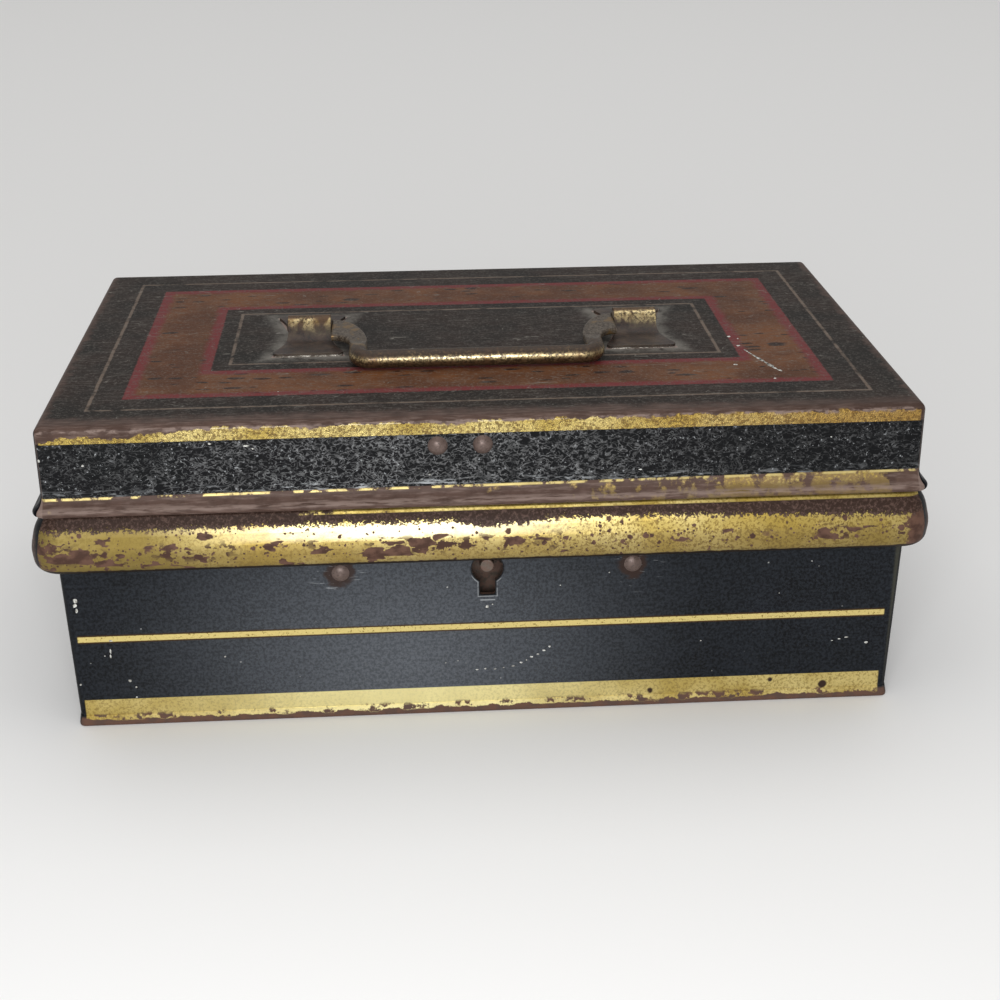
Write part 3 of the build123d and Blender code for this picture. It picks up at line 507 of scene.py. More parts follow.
def lid_gold_line(g, finish, wear, front, gold):
    """The gold line under the front bend, its upper edge worn ragged."""
    ridge = g.plus(g.z, g.plus(g.swing(wear.ragged, 2.4), g.swing(wear.patch, 0.9)))
    left_loss = g.times(g.below(g.x, -95, 30), 2.2)
    span = g.both(g.above(g.x, 1.5 - APRON_X, 0.3), g.below(g.x, APRON_X - 1.6, 0.3))
    line = g.both(g.above(g.z, LID_LINE_FOOT, 0.1),
                  g.below(g.plus(ridge, left_loss), LID_LINE_TOP, 0.2))
    dull = g.times(g.above(g.x, 62, 60), 0.75)
    grains = g.both(g.above(wear.speck, 0.53, 0.05), 0.55)
    leaf = g.mix(grains, g.mix(dull, gold, LID_GOLD_DULL), LID_GOLD_GRAIN)
    finish.over(g.both(front, span, line), leaf, rough=0.36, metal=0.8, lacquer=0.5)
    finish.lift(g.both(front, line, g.swing(wear.speck, 0.3)))
    pale = g.both(front, g.within(ridge, 95.4, 96.9, 0.6), g.above(wear.patch, 0.49, 0.06),
                  g.above(wear.streak, 0.44, 0.1))
    finish.over(g.times(pale, 0.65), WORN_LIGHT, rough=0.4)


def lid_band(g, finish, wear, front, level):
    """The black band of the apron, with pale worm-like lines painted as the glints of its crazed
    lacquer, and grey specks that are partly painted sheen; both are densest left of the middle,
    where the highlight is painted.
    """
    black = g.both(front, g.above(level, COVE_Z, 0.12), g.below(g.z, LID_LINE_FOOT, 0.12))
    finish.over(black, BLACK, rough=0.42)
    # Painted highlight: glints and specks are kept most over this stretch, centred left of the
    # middle.
    middle = g.below(g.size(g.plus(g.x, 22)), 62, 45)
    # Painted glints: pale worm-like lines in place of the light caught by the crazed lacquer.
    glint_worms = g.most(g.hairs(grain=2.8, width=0.022, factors=(0.7, 1, 1.2), shift=41, twist=1.2),
                   g.hairs(grain=1.8, width=0.028, factors=(0.75, 1, 1.2), shift=47, twist=0.8))
    kept = g.both(g.blend(wear.speck, -1.1, 2.4), g.blend(wear.patch, -0.4, 1.7),
                  g.blend(middle, 0.22, 0.8))
    finish.over(g.both(glint_worms, kept, black), WORM_GLINT, rough=0.4)
    finish.over(g.both(g.above(wear.speck, 0.56, 0.08), black, g.blend(middle, 0.04, 0.4)),
                SPECK_AND_SHEEN_GREY, rough=0.4)
    finish.over(g.both(g.above(wear.speck, 0.67, 0.03), black, 0.6), SCRATCH, rough=0.4)
    foot = g.both(black, g.below(level, COVE_Z + 1.8, 1.3), g.above(wear.streak, 0.58, 0.03),
                  g.above(wear.cloud, 0.42, 0.15))
    finish.over(g.both(foot, g.blend(middle, 0.25, 0.75)), SCRATCH, rough=0.5)


def lid_rim(g, finish, wear, front, level, brown, gold):
    """The cove and the curl: bare brown, with washed gold left on the right, and a painted
    highlight along the curl.
    """
    cove = g.both(front, g.below(level, COVE_Z, 0.15))
    finish.over(cove, brown, rough=0.42)
    kept = g.plus(wear.ragged, g.times(g.minus(g.above(g.x, 40, 75), 0.6), 0.3))
    washed = g.both(cove, g.above(kept, 0.53, 0.05),
                    g.below(g.plus(g.x, g.swing(wear.ragged, 9)), RIM_GOLD_END, 1))
    tan = g.mix(g.above(wear.speck, 0.5, 0.15), WORN_BROWN, RIM_TAN)
    lower_gold = g.mix(g.blend(g.above(g.x, 40, 60), 0.35, 0.75), gold, tan)
    upper = g.above(g.plus(level, g.swing(wear.patch, 0.8)), COVE_Z - 3.0, 1.2)
    upper_gold = g.mix(g.above(wear.speck, 0.42, 0.15), gold, RIM_TAN_DARK)
    finish.over(g.both(washed, g.blend(upper, 0.5, 0.9)), g.mix(upper, lower_gold, upper_gold),
                rough=0.42, metal=0.4)
    # Painted highlight along the curl, broken by streaks.
    ridge = g.both(cove, g.within(g.z, COVE_Z - 5.0, COVE_Z - 3.9, 0.6),
                   g.above(wear.streak, 0.45, 0.1))
    finish.over(g.times(ridge, 0.6), WORN_LIGHT, rough=0.4)
    kept = g.plus(wear.ragged, g.times(g.above(g.x, -40, 60), 0.04))
    bright = g.both(cove, g.above(level, COVE_Z - 0.7, 0.2), g.above(kept, 0.52, 0.04))
    finish.over(g.both(bright, g.blend(wear.patch, 0.4, 1.4)), RIM_GOLD, rough=0.4, metal=0.6)


def lid_finish():
    """The lid: charcoal top with its pattern, gold line, black band and brown rim in front."""
    g = Graph("lid_japan")
    wear = Wear(g)
    finish = japan(g, wear, BLACK, BLACK_BLUE)
    top = g.above(g.nz, 0.8, 0.12)
    front = g.both(g.below(g.y, 0.4 - APRON_Y, 0.2), g.below(g.nz, 0.88, 0.08))
    brown = brown_wear(g, wear)
    gold = gold_leaf(g, wear)
    charcoal = g.mix(g.above(wear.cloud, 0.5, 0.2), CHARCOAL, CHARCOAL_WARM)
    finish.over(top, charcoal, rough=0.55)
    lid_top_pattern(g, finish, wear, top)
    lid_top_wear(g, finish, wear, top)
    lid_bends(g, finish, wear, top, brown)
    lid_gold_line(g, finish, wear, front, gold)
    level = g.plus(g.z, g.plus(g.times(g.x, -0.005), 0.6))
    lid_band(g, finish, wear, front, level)
    lid_rim(g, finish, wear, front, level, brown, gold)
    # Painted highlight along the lid's front corners.
    corner = g.both(g.above(g.size(g.x), APRON_X - 0.7, 0.2), front)
    finish.over(g.times(corner, 0.5), WORN_LIGHT, rough=0.4)
    return finish.material(JAPAN_SPECULAR)


# ---------------------------------------------------------------- the body's front


def front_wall(g, finish, wear, wall, sheen):
    """Fine pale specks, a painted sheen left of the middle, and a few white chips."""
    grain = g.above(g.plus(wear.speck, g.swing(wear.streak, 0.12)), 0.5, 0.13)
    finish.over(g.both(wall, g.times(grain, 0.4)), SLATE, rough=0.36)
    # Painted sheen: the wall paled to grey left of the middle, a painted reflection of the
    # floor.
    finish.over(g.both(wall, sheen, g.blend(grain, 0.55, 0.95)), PAINTED_SHEEN_GREY, rough=0.36)
    chips, pick = g.spots(grain=2.6, size=0.14, soft=0.04, shift=87, wobble=0.2)
    finish.over(g.both(wall, chips, g.below(pick, 0.06, 0.01), 0.6), WHITE_PAINT, rough=0.5)


def keyhole_gap(g):
    """Distance outside of the keyhole, in the front wall's plane."""
    drop = g.minus(g.z, LOCK_Z)
    round_gap = g.minus(g.span(g.x, drop), KEYHOLE_ROUND)
    beside = g.minus(g.size(g.x), KEYHOLE_SLOT_HALF)
    past_end = g.minus(g.size(g.plus(drop, KEYHOLE_SLOT_MIDDLE)), KEYHOLE_SLOT_MIDDLE)
    return g.least(round_gap, g.most(beside, past_end))


def front_lock_wear(g, finish, wear, wall):
    """Grime and cracks round the plate's rivets; painted shade round the keyhole, painted
    highlights along the lower edges of its slot, and a painted highlight line under it.
    """
    rivet_gap = g.span(g.minus(g.size(g.x), PLATE_RIVET_X), g.minus(g.z, LOCK_Z))
    grime = g.both(wall, g.below(g.plus(rivet_gap, g.swing(wear.patch, 2.5)), 4.3, 0.9))
    finish.over(g.times(grime, 0.85), RUST_DARK, rough=0.6)
    crack = g.both(g.below(rivet_gap, 8.0, 3.0), g.above(wear.streak, 0.64, 0.03), wall)
    finish.over(g.times(crack, 0.35), SCRATCH, rough=0.5)
    key_gap = keyhole_gap(g)
    # Painted highlight along the edges of the slot's lower part.
    lip_highlight = g.both(g.within(key_gap, 0.4, 0.6, 0.16), g.below(g.z, LOCK_Z - 2.5, 0.8))
    # Painted shade just outside the keyhole's edge.
    finish.over(g.both(wall, g.below(key_gap, 0.3, 0.1), 0.8), BLACK, rough=0.4)
    finish.over(g.both(wall, lip_highlight, g.above(wear.patch, 0.47, 0.08), 0.5), SCRATCH, rough=0.4)
    # Painted highlight: a pale line, as of a ledge, under the keyhole.
    shelf_highlight = g.both(g.within(g.z, LOCK_Z - 10.6, LOCK_Z - 10.2, 0.15),
                   g.below(g.size(g.x), 2.2, 0.2), wall)
    finish.over(g.times(shelf_highlight, 0.45), SCRATCH, rough=0.4)


def front_lines(g, finish, wear, front, wall, sheen, gold, rust):
    """The thin gold line, the thick one over the hem, paled by the painted sheen left of the
    middle, and the rust that eats into it.
    """
    span = g.both(g.above(g.x, LINES_LEFT, 0.25), g.below(g.x, LINES_RIGHT, 0.25))
    thin = g.plus(g.z, g.swing(wear.speck, 0.12))
    shade = g.within(thin, THIN_LINE_FOOT - 0.45, THIN_LINE_TOP + 0.45, 0.15)
    finish.over(g.both(wall, shade, span, 0.9), LINE_SHADE, rough=0.42)
    finish.over(g.both(wall, g.within(thin, THIN_LINE_FOOT, THIN_LINE_TOP, 0.1), span),
                g.mix(g.above(wear.speck, 0.62, 0.08), GOLD_PALE, GOLD_DEEP),
                rough=0.36, metal=0.55)
    hem = g.plus(g.z, g.plus(g.swing(wear.ragged, 2.2), g.swing(wear.patch, 0.5)))
    finish.over(g.both(front, g.below(g.z, HEM_TOP, 0.5)), rust, rough=0.55)
    stripe = g.both(front, g.below(g.z, STRIPE_TOP, 0.12), g.above(hem, STRIPE_FOOT, 0.15), span)
    hills = g.both(g.above(wear.ragged, 0.56, 0.03), g.below(hem, 4.2, 0.6))
    # Painted sheen: the thick line paler left of the middle.
    leaf = g.mix(g.times(sheen, 0.75), gold, STRIPE_PAINTED_SHEEN)
    finish.over(stripe, leaf, rough=0.36, metal=0.6, lacquer=0.6)
    finish.over(g.both(stripe, hills), rust, rough=0.55)
    pits, pick = g.spots(grain=7.5, size=0.22, soft=0.03, shift=83, wobble=0.15)
    finish.over(g.both(stripe, pits, g.below(pick, 0.35, 0.02)), RUST_DARK, rough=0.6)


def front_bead(g, finish, wear, bead, gold):
    """The gold of the bead, with a painted highlight left of the middle, painted shade on its
    lower half, and dull at its ends.
    """
    # Painted shade: the gold darker on the bead's lower half.
    low = g.mix(g.below(g.z, 61.0, 4.5), gold, g.mix(0.5, gold, GOLD_DEEP))
    # Painted highlight: a pale band along the bead's belly, left of the middle.
    rub = g.both(g.within(g.z, 62.2, 65.2, 1.2), g.within(g.x, -62, 12, 28),
                 g.blend(wear.ragged, 0.3, 1.2))
    ends = g.most(g.below(g.x, -78, 24), g.times(g.above(g.x, 70, 60), 0.6))
    dull = g.mix(g.times(ends, 0.8), low, BEAD_GOLD_END)
    grains = g.both(g.above(wear.speck, 0.54, 0.04), g.above(g.x, 10, 40), 0.5)
    leaf = g.mix(grains, dull, BEAD_GOLD_GRAIN)
    finish.over(bead, g.mix(rub, leaf, GOLD_PAINTED_GLINT), rough=g.blend(ends, 0.38, 0.6), metal=0.8,
                lacquer=g.blend(ends, 0.7, 0.05))


def bead_rust(g, finish, wear, bead):
    """Rust spots in three sizes, crowded along the bead's lower half, and its bare ends."""
    rust = g.mix(g.above(wear.patch, 0.5, 0.12), RUST, BEAD_RUST)
    low_band = g.below(g.size(g.minus(g.z, BEAD_SPOTS_Z)), 2.6, 1.8)
    crowd = g.plus(g.times(low_band, 0.55), g.swing(wear.cloud, 0.5))
    crowd = g.plus(crowd, g.plus(g.times(g.below(g.x, -85, 30), 0.2), 0.1))
    clean = g.times(g.within(g.x, 22, 92, 12), 0.45)
    large, pick = g.spots(grain=4.3, size=0.74, soft=0.04, shift=61,
                          factors=(0.62, 1, 1.15), wobble=0.8)
    small, small_pick = g.spots(grain=2.1, size=0.46, soft=0.06, shift=67, wobble=0.55)
    pits, pit_pick = g.spots(grain=0.95, size=0.42, soft=0.1, shift=71)
    rusted = g.both(large, g.below(pick, g.minus(g.plus(crowd, 0.1), clean), 0.03))
    rusted = g.most(rusted, g.both(small, g.below(small_pick, g.plus(crowd, 0.06), 0.03)))
    rusted = g.most(rusted, g.both(pits, g.below(pit_pick, crowd, 0.03)))
    merged = g.both(g.above(g.minus(wear.patch, g.times(clean, 0.2)), 0.57, 0.02), low_band,
                    g.above(wear.cloud, 0.46, 0.06))
    rusted = g.most(rusted, merged)
    wander = g.plus(g.swing(wear.ragged, 5), g.swing(wear.speck, 2))
    bare_left = g.below(g.plus(g.x, wander), BEAD_BARE_LEFT, 0.6)
    bare_right = g.above(g.plus(g.x, wander), BEAD_BARE_RIGHT, 0.6)
    finish.over(g.both(bead, g.most(rusted, g.most(bare_left, bare_right))), rust, rough=0.5)


def bead_shoulder(g, finish, wear, bead):
    """The bead's brown shoulder, the gold line on top of it and painted shade along its foot."""
    shoulder = g.plus(g.z, g.plus(g.swing(wear.speck, 3.2), g.swing(wear.patch, 1.2)))
    brown = g.mix(g.above(wear.speck, 0.56, 0.1), RUST_DARK, WORN_BROWN)
    from_dent = g.span(g.times(g.minus(g.x, 3), 0.2), g.minus(g.z, 66))
    dull = g.times(g.below(from_dent, 2.3, 0.9), 1.6)
    dull = g.plus(dull, g.plus(0.3, g.times(g.above(g.x, 80, 65), 2.3)))
    finish.over(g.both(bead, g.above(g.plus(shoulder, dull), BEAD_SHOULDER_Z, 0.4)), brown,
                rough=0.45)
    kept = g.plus(wear.ragged, g.times(g.minus(g.above(g.x, -44, 40), 0.5), 0.5))
    line = g.both(bead, g.within(g.z, BEAD_LINE_FOOT, BEAD_LINE_TOP, 0.15),
                  g.above(kept, 0.48, 0.05))
    finish.over(line, gold_leaf(g, wear), rough=0.33, metal=0.85)
    # Painted shade along the bead's foot, where it curves under.
    foot = g.below(g.plus(g.z, g.swing(wear.patch, 0.6)), BEAD_FOOT + 1.7, 0.25)
    finish.over(g.both(bead, foot), BEAD_SHADE, rough=0.5)


def body_front_finish():
    """The body's front: gold bead, a thin and a thick gold line on black."""
    g = Graph("front_japan")
    wear = Wear(g)
    finish = japan(g, wear, BLACK, BLACK_BLUE)
    outward = g.below(g.ny, 0.3, 0.2)
    front = g.both(g.below(g.y, WALL_Y + 0.3, 0.15), outward)
    gold = gold_leaf(g, wear)
    rust = g.mix(g.above(wear.patch, 0.5, 0.12), RUST, WORN_BROWN)
    wall = g.both(front, g.below(g.z, BEAD_FOOT, 0.3))
    # Painted sheen: a broad patch centred left of the middle, low on the wall.
    from_glow = g.span(g.times(g.plus(g.x, 26), 0.0105), g.times(g.minus(g.z, 16), 0.012))
    sheen = g.below(from_glow, 0.45, 0.6)
    front_wall(g, finish, wear, wall, sheen)
    front_lock_wear(g, finish, wear, wall)
    finish.over(g.both(wall, g.above(g.x, BARE_EDGE_X, 0.5), 0.6), BARE_EDGE, rough=0.5)
    front_lines(g, finish, wear, front, wall, sheen, gold, rust)
    bead = g.both(front, g.within(g.z, BEAD_FOOT - 0.25, BEAD_TOP + 1.4, 0.15))
    front_bead(g, finish, wear, bead, gold)
    bead_rust(g, finish, wear, bead)
    bead_shoulder(g, finish, wear, bead)
    return finish.material(JAPAN_SPECULAR)


# ---------------------------------------------------------------- the other solids


def plain_finish():
    """Ends, back and hinge leaves: plain black, worn brown where it stands out."""
    g = Graph("plain_japan")
    wear = Wear(g)
    finish = japan(g, wear, BLACK, BLACK_BLUE)
    finish.over(g.times(g.above(wear.speck, 0.6, 0.08), 0.35), SLATE, rough=0.4)
    brown = brown_wear(g, wear)
    reach = g.most(g.size(g.x), g.plus(g.y, APRON_X - APRON_Y))
    reach = g.plus(reach, g.swing(wear.ragged, 1.6))
    finish.over(g.both(g.above(reach, RUBBED_REACH, 0.8), 0.75), brown, rough=0.5)
    bend = g.both(g.above(g.plus(g.z, g.swing(wear.ragged, 1.8)), LID_TOP - 1.4, 0.7), 0.8)
    finish.over(bend, brown, rough=0.5)
    foot = g.below(g.plus(g.z, g.swing(wear.ragged, 1.8)), 1.8, 0.6)
    finish.over(g.times(foot, 0.7), brown, rough=0.55)
    scuffs = g.both(g.above(wear.streak, 0.66, 0.04), g.above(wear.cloud, 0.5, 0.1), 0.4)
    finish.over(scuffs, DUST, rough=0.5)
    return finish.material(JAPAN_SPECULAR)


def brass(g, shift, tarnish, painted_highlight):
    """Brass under speckled tarnish: brown tarnish and painted shade except where a highlight is
    painted, pale and bright there; and its noises.
    """
    speck = g.noise(0.8, shift=shift + 3, detail=4, rough=0.72)
    cloud = g.noise(5, shift=shift, detail=4)
    finish = Finish(g, g.mix(g.above(cloud, 0.56, 0.12), BRASS, BRASS_PALE), 0.3, 1.0)
    # Tarnish and painted shade: brown wherever no highlight is painted.
    finish.over(g.times(g.minus(1.0, painted_highlight), 0.85), BRASS_TARNISH_AND_SHADE, rough=0.5, metal=0.35)
    # The painted highlight itself: pale brass.
    bright = g.both(painted_highlight, g.above(cloud, 0.42, 0.08), 0.8)
    finish.over(bright, BRASS_PAINTED_HIGHLIGHT, rough=0.3, metal=0.9)
    film = g.above(g.plus(speck, g.swing(cloud, 0.2)), 0.66 - tarnish, 0.06)
    finish.over(g.times(film, 0.85), BRASS_DARK, rough=0.42, metal=0.6)
    finish.lacquer = g.blend(painted_highlight, 0.03, 0.6)
    finish.lift(g.swing(speck, 0.03))
    return finish, speck, cloud


def handle_finish():
    """The handle: a painted highlight along the grip's front and painted shade on its crown; its
    flat arms browned.
    """
    g = Graph("handle_brass")
    # Painted highlight: the grip's face that looks to the front, strongest over its middle.
    side = g.both(g.below(g.nz, 0.52, 0.16), g.above(g.nz, -0.05, 0.2), g.below(g.ny, 0.0, 0.3))
    middle = g.below(g.size(g.x), 20, 22)
    painted_highlight = g.both(side, g.blend(middle, 0.35, 1.0))
    finish, speck, cloud = brass(g, shift=100, tarnish=0.15, painted_highlight=painted_highlight)
    # Painted shade over the grip's upper face, broken by specks.
    crown = g.both(g.above(g.nz, 0.4, 0.2), g.above(speck, 0.38, 0.1), 0.75)
    finish.over(crown, GRIP_CROWN_SHADE, rough=0.5, metal=0.15)
    arms = g.above(g.plus(g.y, g.swing(cloud, 4)), ARMS_Y, 2.5)
    mottled = g.mix(g.above(speck, 0.5, 0.07), ARM_PALE, ARM_DARK)
    mottled = g.mix(g.above(cloud, 0.52, 0.12), mottled, ARM_GREY)
    finish.over(g.times(arms, 0.9), mottled, rough=g.blend(speck, 0.3, 0.65), metal=0.35)
    rub = g.both(arms, g.above(g.plus(cloud, g.swing(speck, 0.15)), 0.6, 0.04), 0.6)
    finish.over(rub, BRASS, rough=0.36, metal=0.9)
    finish.lift(g.both(arms, g.swing(cloud, 0.12)))
    return finish.material()


def ear_finish():
    """The ears: brass over the loop with painted highlight patches on its upper front, feet
    browned like the lid.
    """
    g = Graph("ear_brass")
    # Painted highlight: patches on the loop where it faces up and to the front.
    patches = g.above(g.noise(4, factors=(1, 0.5, 0.5), shift=141, detail=2), 0.44, 0.05)
    brow_highlight = g.both(g.within(g.nz, 0.48, 0.82, 0.1), g.below(g.ny, 0.0, 0.2), patches)
    finish, speck, cloud = brass(g, shift=130, tarnish=0.12, painted_highlight=brow_highlight)
    feet = g.below(g.plus(g.z, g.swing(cloud, 2.4)), LID_TOP + 4.4, 1.6)
    dark = g.mix(g.above(speck, 0.5, 0.08), FOOT_BLACK, FOOT_BROWN)
    dark = g.mix(g.above(cloud, 0.56, 0.1), dark, FOOT_PALE)
    finish.over(g.times(feet, 0.95), dark, rough=g.blend(speck, 0.35, 0.65), metal=0.1)
    finish.lift(g.both(feet, g.swing(cloud, 0.15)))
    # Paler brass along the feet's end edges: worn edge and painted highlight.
    rim = g.both(g.above(g.size(g.y), EAR_END - 0.9, 0.3), g.above(cloud, 0.45, 0.1))
    finish.over(g.times(rim, 0.7), BRASS_GREY, rough=0.4, metal=0.7)
    return finish.material()


def steel_finish():
    """Dull tinned steel of the lock and pins, browned with age."""
    g = Graph("old_steel")
    cloud = g.noise(7, shift=151, detail=4)
    speck = g.noise(1.6, shift=153, detail=4, rough=0.65)
    finish = Finish(g, g.mix(g.above(cloud, 0.48, 0.15), STEEL, STEEL_DARK), 0.42, 0.6)
    finish.over(g.times(g.above(speck, 0.48, 0.08), 0.8), RUST, rough=0.6, metal=0.1)
    finish.lift(g.swing(speck, 0.03))
    return finish.material()


def rivet_finish():
    """Browned rivet heads, mottled and pitted."""
    g = Graph("browned_rivet")
    cloud = g.noise(2.2, shift=161, detail=3)
    speck = g.noise(0.6, shift=163, detail=2)
    finish = Finish(g, g.mix(cloud, RIVET_DARK, RIVET_PALE), 0.4, 0.35)
    finish.over(g.times(g.above(speck, 0.6, 0.06), 0.6), RUST_DARK, rough=0.55)
    finish.lift(g.swing(cloud, 0.06))
    return finish.material()


def dress(names, material):
    """Gives a material to CAD solids."""
    for name in names:
        data = nodes[name].data
        data.materials.clear()
        data.materials.append(material)


def dress_solids():
    """A finish for every solid of the box."""
    dress(["lid_cover"], lid_finish())
    dress(["body_front", "bottom_panel"], body_front_finish())
    plain = ["lid_end_left", "lid_end_right", "body_end_left", "body_end_right", "body_back"]
    dress(plain + [name for name in nodes if "leaf" in name], plain_finish())
    dress(["handle_bail"], handle_finish())
    dress(["handle_ear_left", "handle_ear_right"], ear_finish())
    dress(["lid_staple", "lock_plate", "lock_case", "lock_case_rivets", "lock_bolt",
           "bolt_stumps", "bolt_spring", "drill_pin", "hinge_pin_left", "hinge_pin_right"],
          steel_finish())
    dress(["staple_rivets", "lock_plate_rivets", "hinge_body_rivets", "hinge_lid_rivets"],
          rivet_finish())


# ---------------------------------------------------------------- pieces that the scene adds


def in_scene(name, data):
    """A new object of the scene."""
    obj = bpy.data.objects.new(name, data)
    bpy.context.scene.collection.objects.link(obj)
    return obj


def add_piece(name, bm, body, material):
    """Makes a mesh, drawn in millimetres, into a piece that moves with a body."""
    bmesh.ops.recalc_face_normals(bm, faces=bm.faces)
    bmesh.ops.scale(bm, vec=(MM, MM, MM), verts=bm.verts)
    mesh = bpy.data.meshes.new(name)
    bm.to_mesh(mesh)
    bm.free()
    mesh.shade_smooth()
    mesh.materials.append(material)
    obj = in_scene(name, mesh)
    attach(obj, body)


def foot_half_width(along):
    """Half the width of an ear's foot, at a distance along it from the handle's axis."""
    middle = (EAR_LOOP + EAR_END) / 2
    flared = (2 * EAR_WAIST + EAR_FOOT) / 3
    first = (along - middle) * (along - EAR_END) / ((EAR_LOOP - middle) * (EAR_LOOP - EAR_END))
    second = (along - EAR_LOOP) * (along - EAR_END) / ((middle - EAR_LOOP) * (middle - EAR_END))
    third = (along - EAR_LOOP) * (along - middle) / ((EAR_END - EAR_LOOP) * (EAR_END - middle))
    return first * EAR_WAIST + second * flared + third * EAR_FOOT


def foot_outline(wander):
    """Line round one foot of an ear, a little way out from its edge."""
    rises = [SEAM_START_Y + i * SEAM_PITCH for i in range(SEAM_SIDE_POINTS)]
    side = [(foot_half_width(y), y) for y in rises]
    end_x = EAR_FOOT - EAR_CORNER
    side.append((EAR_FOOT - 0.3 * EAR_CORNER, EAR_END - 0.3 * EAR_CORNER))
    across = [(end_x - i * end_x / SEAM_END_STEPS, EAR_END) for i in range(SEAM_END_STEPS + 1)]
    half = [(x + wander(), y + wander()) for x, y in side + across]
    back = [(-x + wander(), y + wander()) for x, y in reversed(side + across[:-1])]
    return half + back


def solder_seam(name, x, chance):
    """Irregular line of solder round an ear's feet."""
    bm = bmesh.new()
    for toward in (-1, 1):
        size = SEAM_FIRST
        rings = []
        for px, py in foot_outline(lambda: chance.uniform(*SEAM_WANDER)):
            size += chance.uniform(-SEAM_STEP, SEAM_STEP)
            size = min(max(size, SEAM_LEAST), SEAM_MOST)
            around = [k * math.tau / SEAM_SIDES for k in range(SEAM_SIDES)]
            out = Vector((px, py, 0)).normalized()
            rings.append([
                bm.verts.new((x + px + out.x * size * math.cos(a),
                              toward * (py + out.y * size * math.cos(a)),
                              LID_TOP + SEAM_FLATNESS * size * math.sin(a)))
                for a in around
            ])
        for near, far in zip(rings, rings[1:]):
            for k in range(SEAM_SIDES):
                m = (k + 1) % SEAM_SIDES
                bm.faces.new((near[k], near[m], far[m], far[k]))
        bm.faces.new(rings[0])
        bm.faces.new(rings[-1])
    add_piece(name, bm, "lid", solder_finish())


def fleck(bm, origin, across, up, width, height, chance):
    """One irregular chip of paint on a face, standing a tenth of a millimetre proud."""
    out = across.cross(up).normalized()
    rim, crown = [], []
    for k in range(FLECK_SIDES):
        turn = k * math.tau / FLECK_SIDES
        reach = chance.uniform(*FLECK_REACH) / 2
        step = across * (width * reach * math.cos(turn)) + up * (height * reach * math.sin(turn))
        rim.append(bm.verts.new(origin + step - out * FLECK_ROOT))
        crown.append(bm.verts.new(origin + step * FLECK_CROWN + out * FLECK_PROUD))
    for k in range(FLECK_SIDES):
        m = (k + 1) % FLECK_SIDES
        bm.faces.new((rim[k], rim[m], crown[m], crown[k]))
    bm.faces.new(crown)
    bm.faces.new(list(reversed(rim)))


def front_flecks(name, body, face_y, spots, chance):
    """Flecks of (x, z, width, height) on a face that looks to the front."""
    bm = bmesh.new()
    for x, z, width, height in spots:
        fleck(bm, Vector((x, face_y, z)), Vector((1, 0, 0)), Vector((0, 0, 1)), width, height,
              chance)
    add_piece(name, bm, body, paint_finish())


def top_flecks(name, body, face_z, spots, chance):
    """Flecks of (x, y, width, depth) on a face that looks up."""
    bm = bmesh.new()
    for x, y, width, depth in spots:
        fleck(bm, Vector((x, y, face_z)), Vector((1, 0, 0)), Vector((0, 1, 0)), width, depth,
              chance)
    add_piece(name, bm, body, paint_finish())


def lid_scratch(chance):
    """A long scratch through the red band, in slivers that overlap."""
    bm = bmesh.new()
    for (x, y), (far_x, far_y) in zip(SCRATCH_LINE, SCRATCH_LINE[1:]):
        along = Vector((far_x - x, far_y - y, 0))
        across = along.cross(Vector((0, 0, -1))).normalized()
        middle = Vector(((x + far_x) / 2, (y + far_y) / 2, LID_TOP))
        length = along.length * chance.uniform(*SCRATCH_OVERLAP)
        width = chance.uniform(*SCRATCH_WIDTH)
        fleck(bm, middle, along.normalized(), -across, length, width, chance)
    add_piece("lid_scratch", bm, "lid", paint_finish())


def solder_finish():
    """Old solder, grey with dark pits."""
    g = Graph("old_solder")
    cloud = g.noise(1.2, shift=171, detail=4)
    speck = g.noise(0.4, shift=173, detail=2)
    finish = Finish(g, g.mix(g.above(cloud, 0.48, 0.1), SOLDER_PALE, SOLDER_DARK), 0.42, 0.6)
    finish.over(g.times(g.above(speck, 0.56, 0.06), 0.7), RUST_DARK, rough=0.6)
    finish.lift(g.swing(cloud, 0.15))
    return finish.material()


def paint_finish():
    """Dried white paint, slightly dirty."""
    g = Graph("white_paint")
    cloud = g.noise(0.8, shift=181, detail=4)
    finish = Finish(g, g.mix(g.above(cloud, 0.48, 0.12), WHITE_PAINT, PAINT_DIRTY), 0.65)
    finish.lift(g.swing(cloud, 0.1))
    return finish.material(PAINT_SPECULAR)


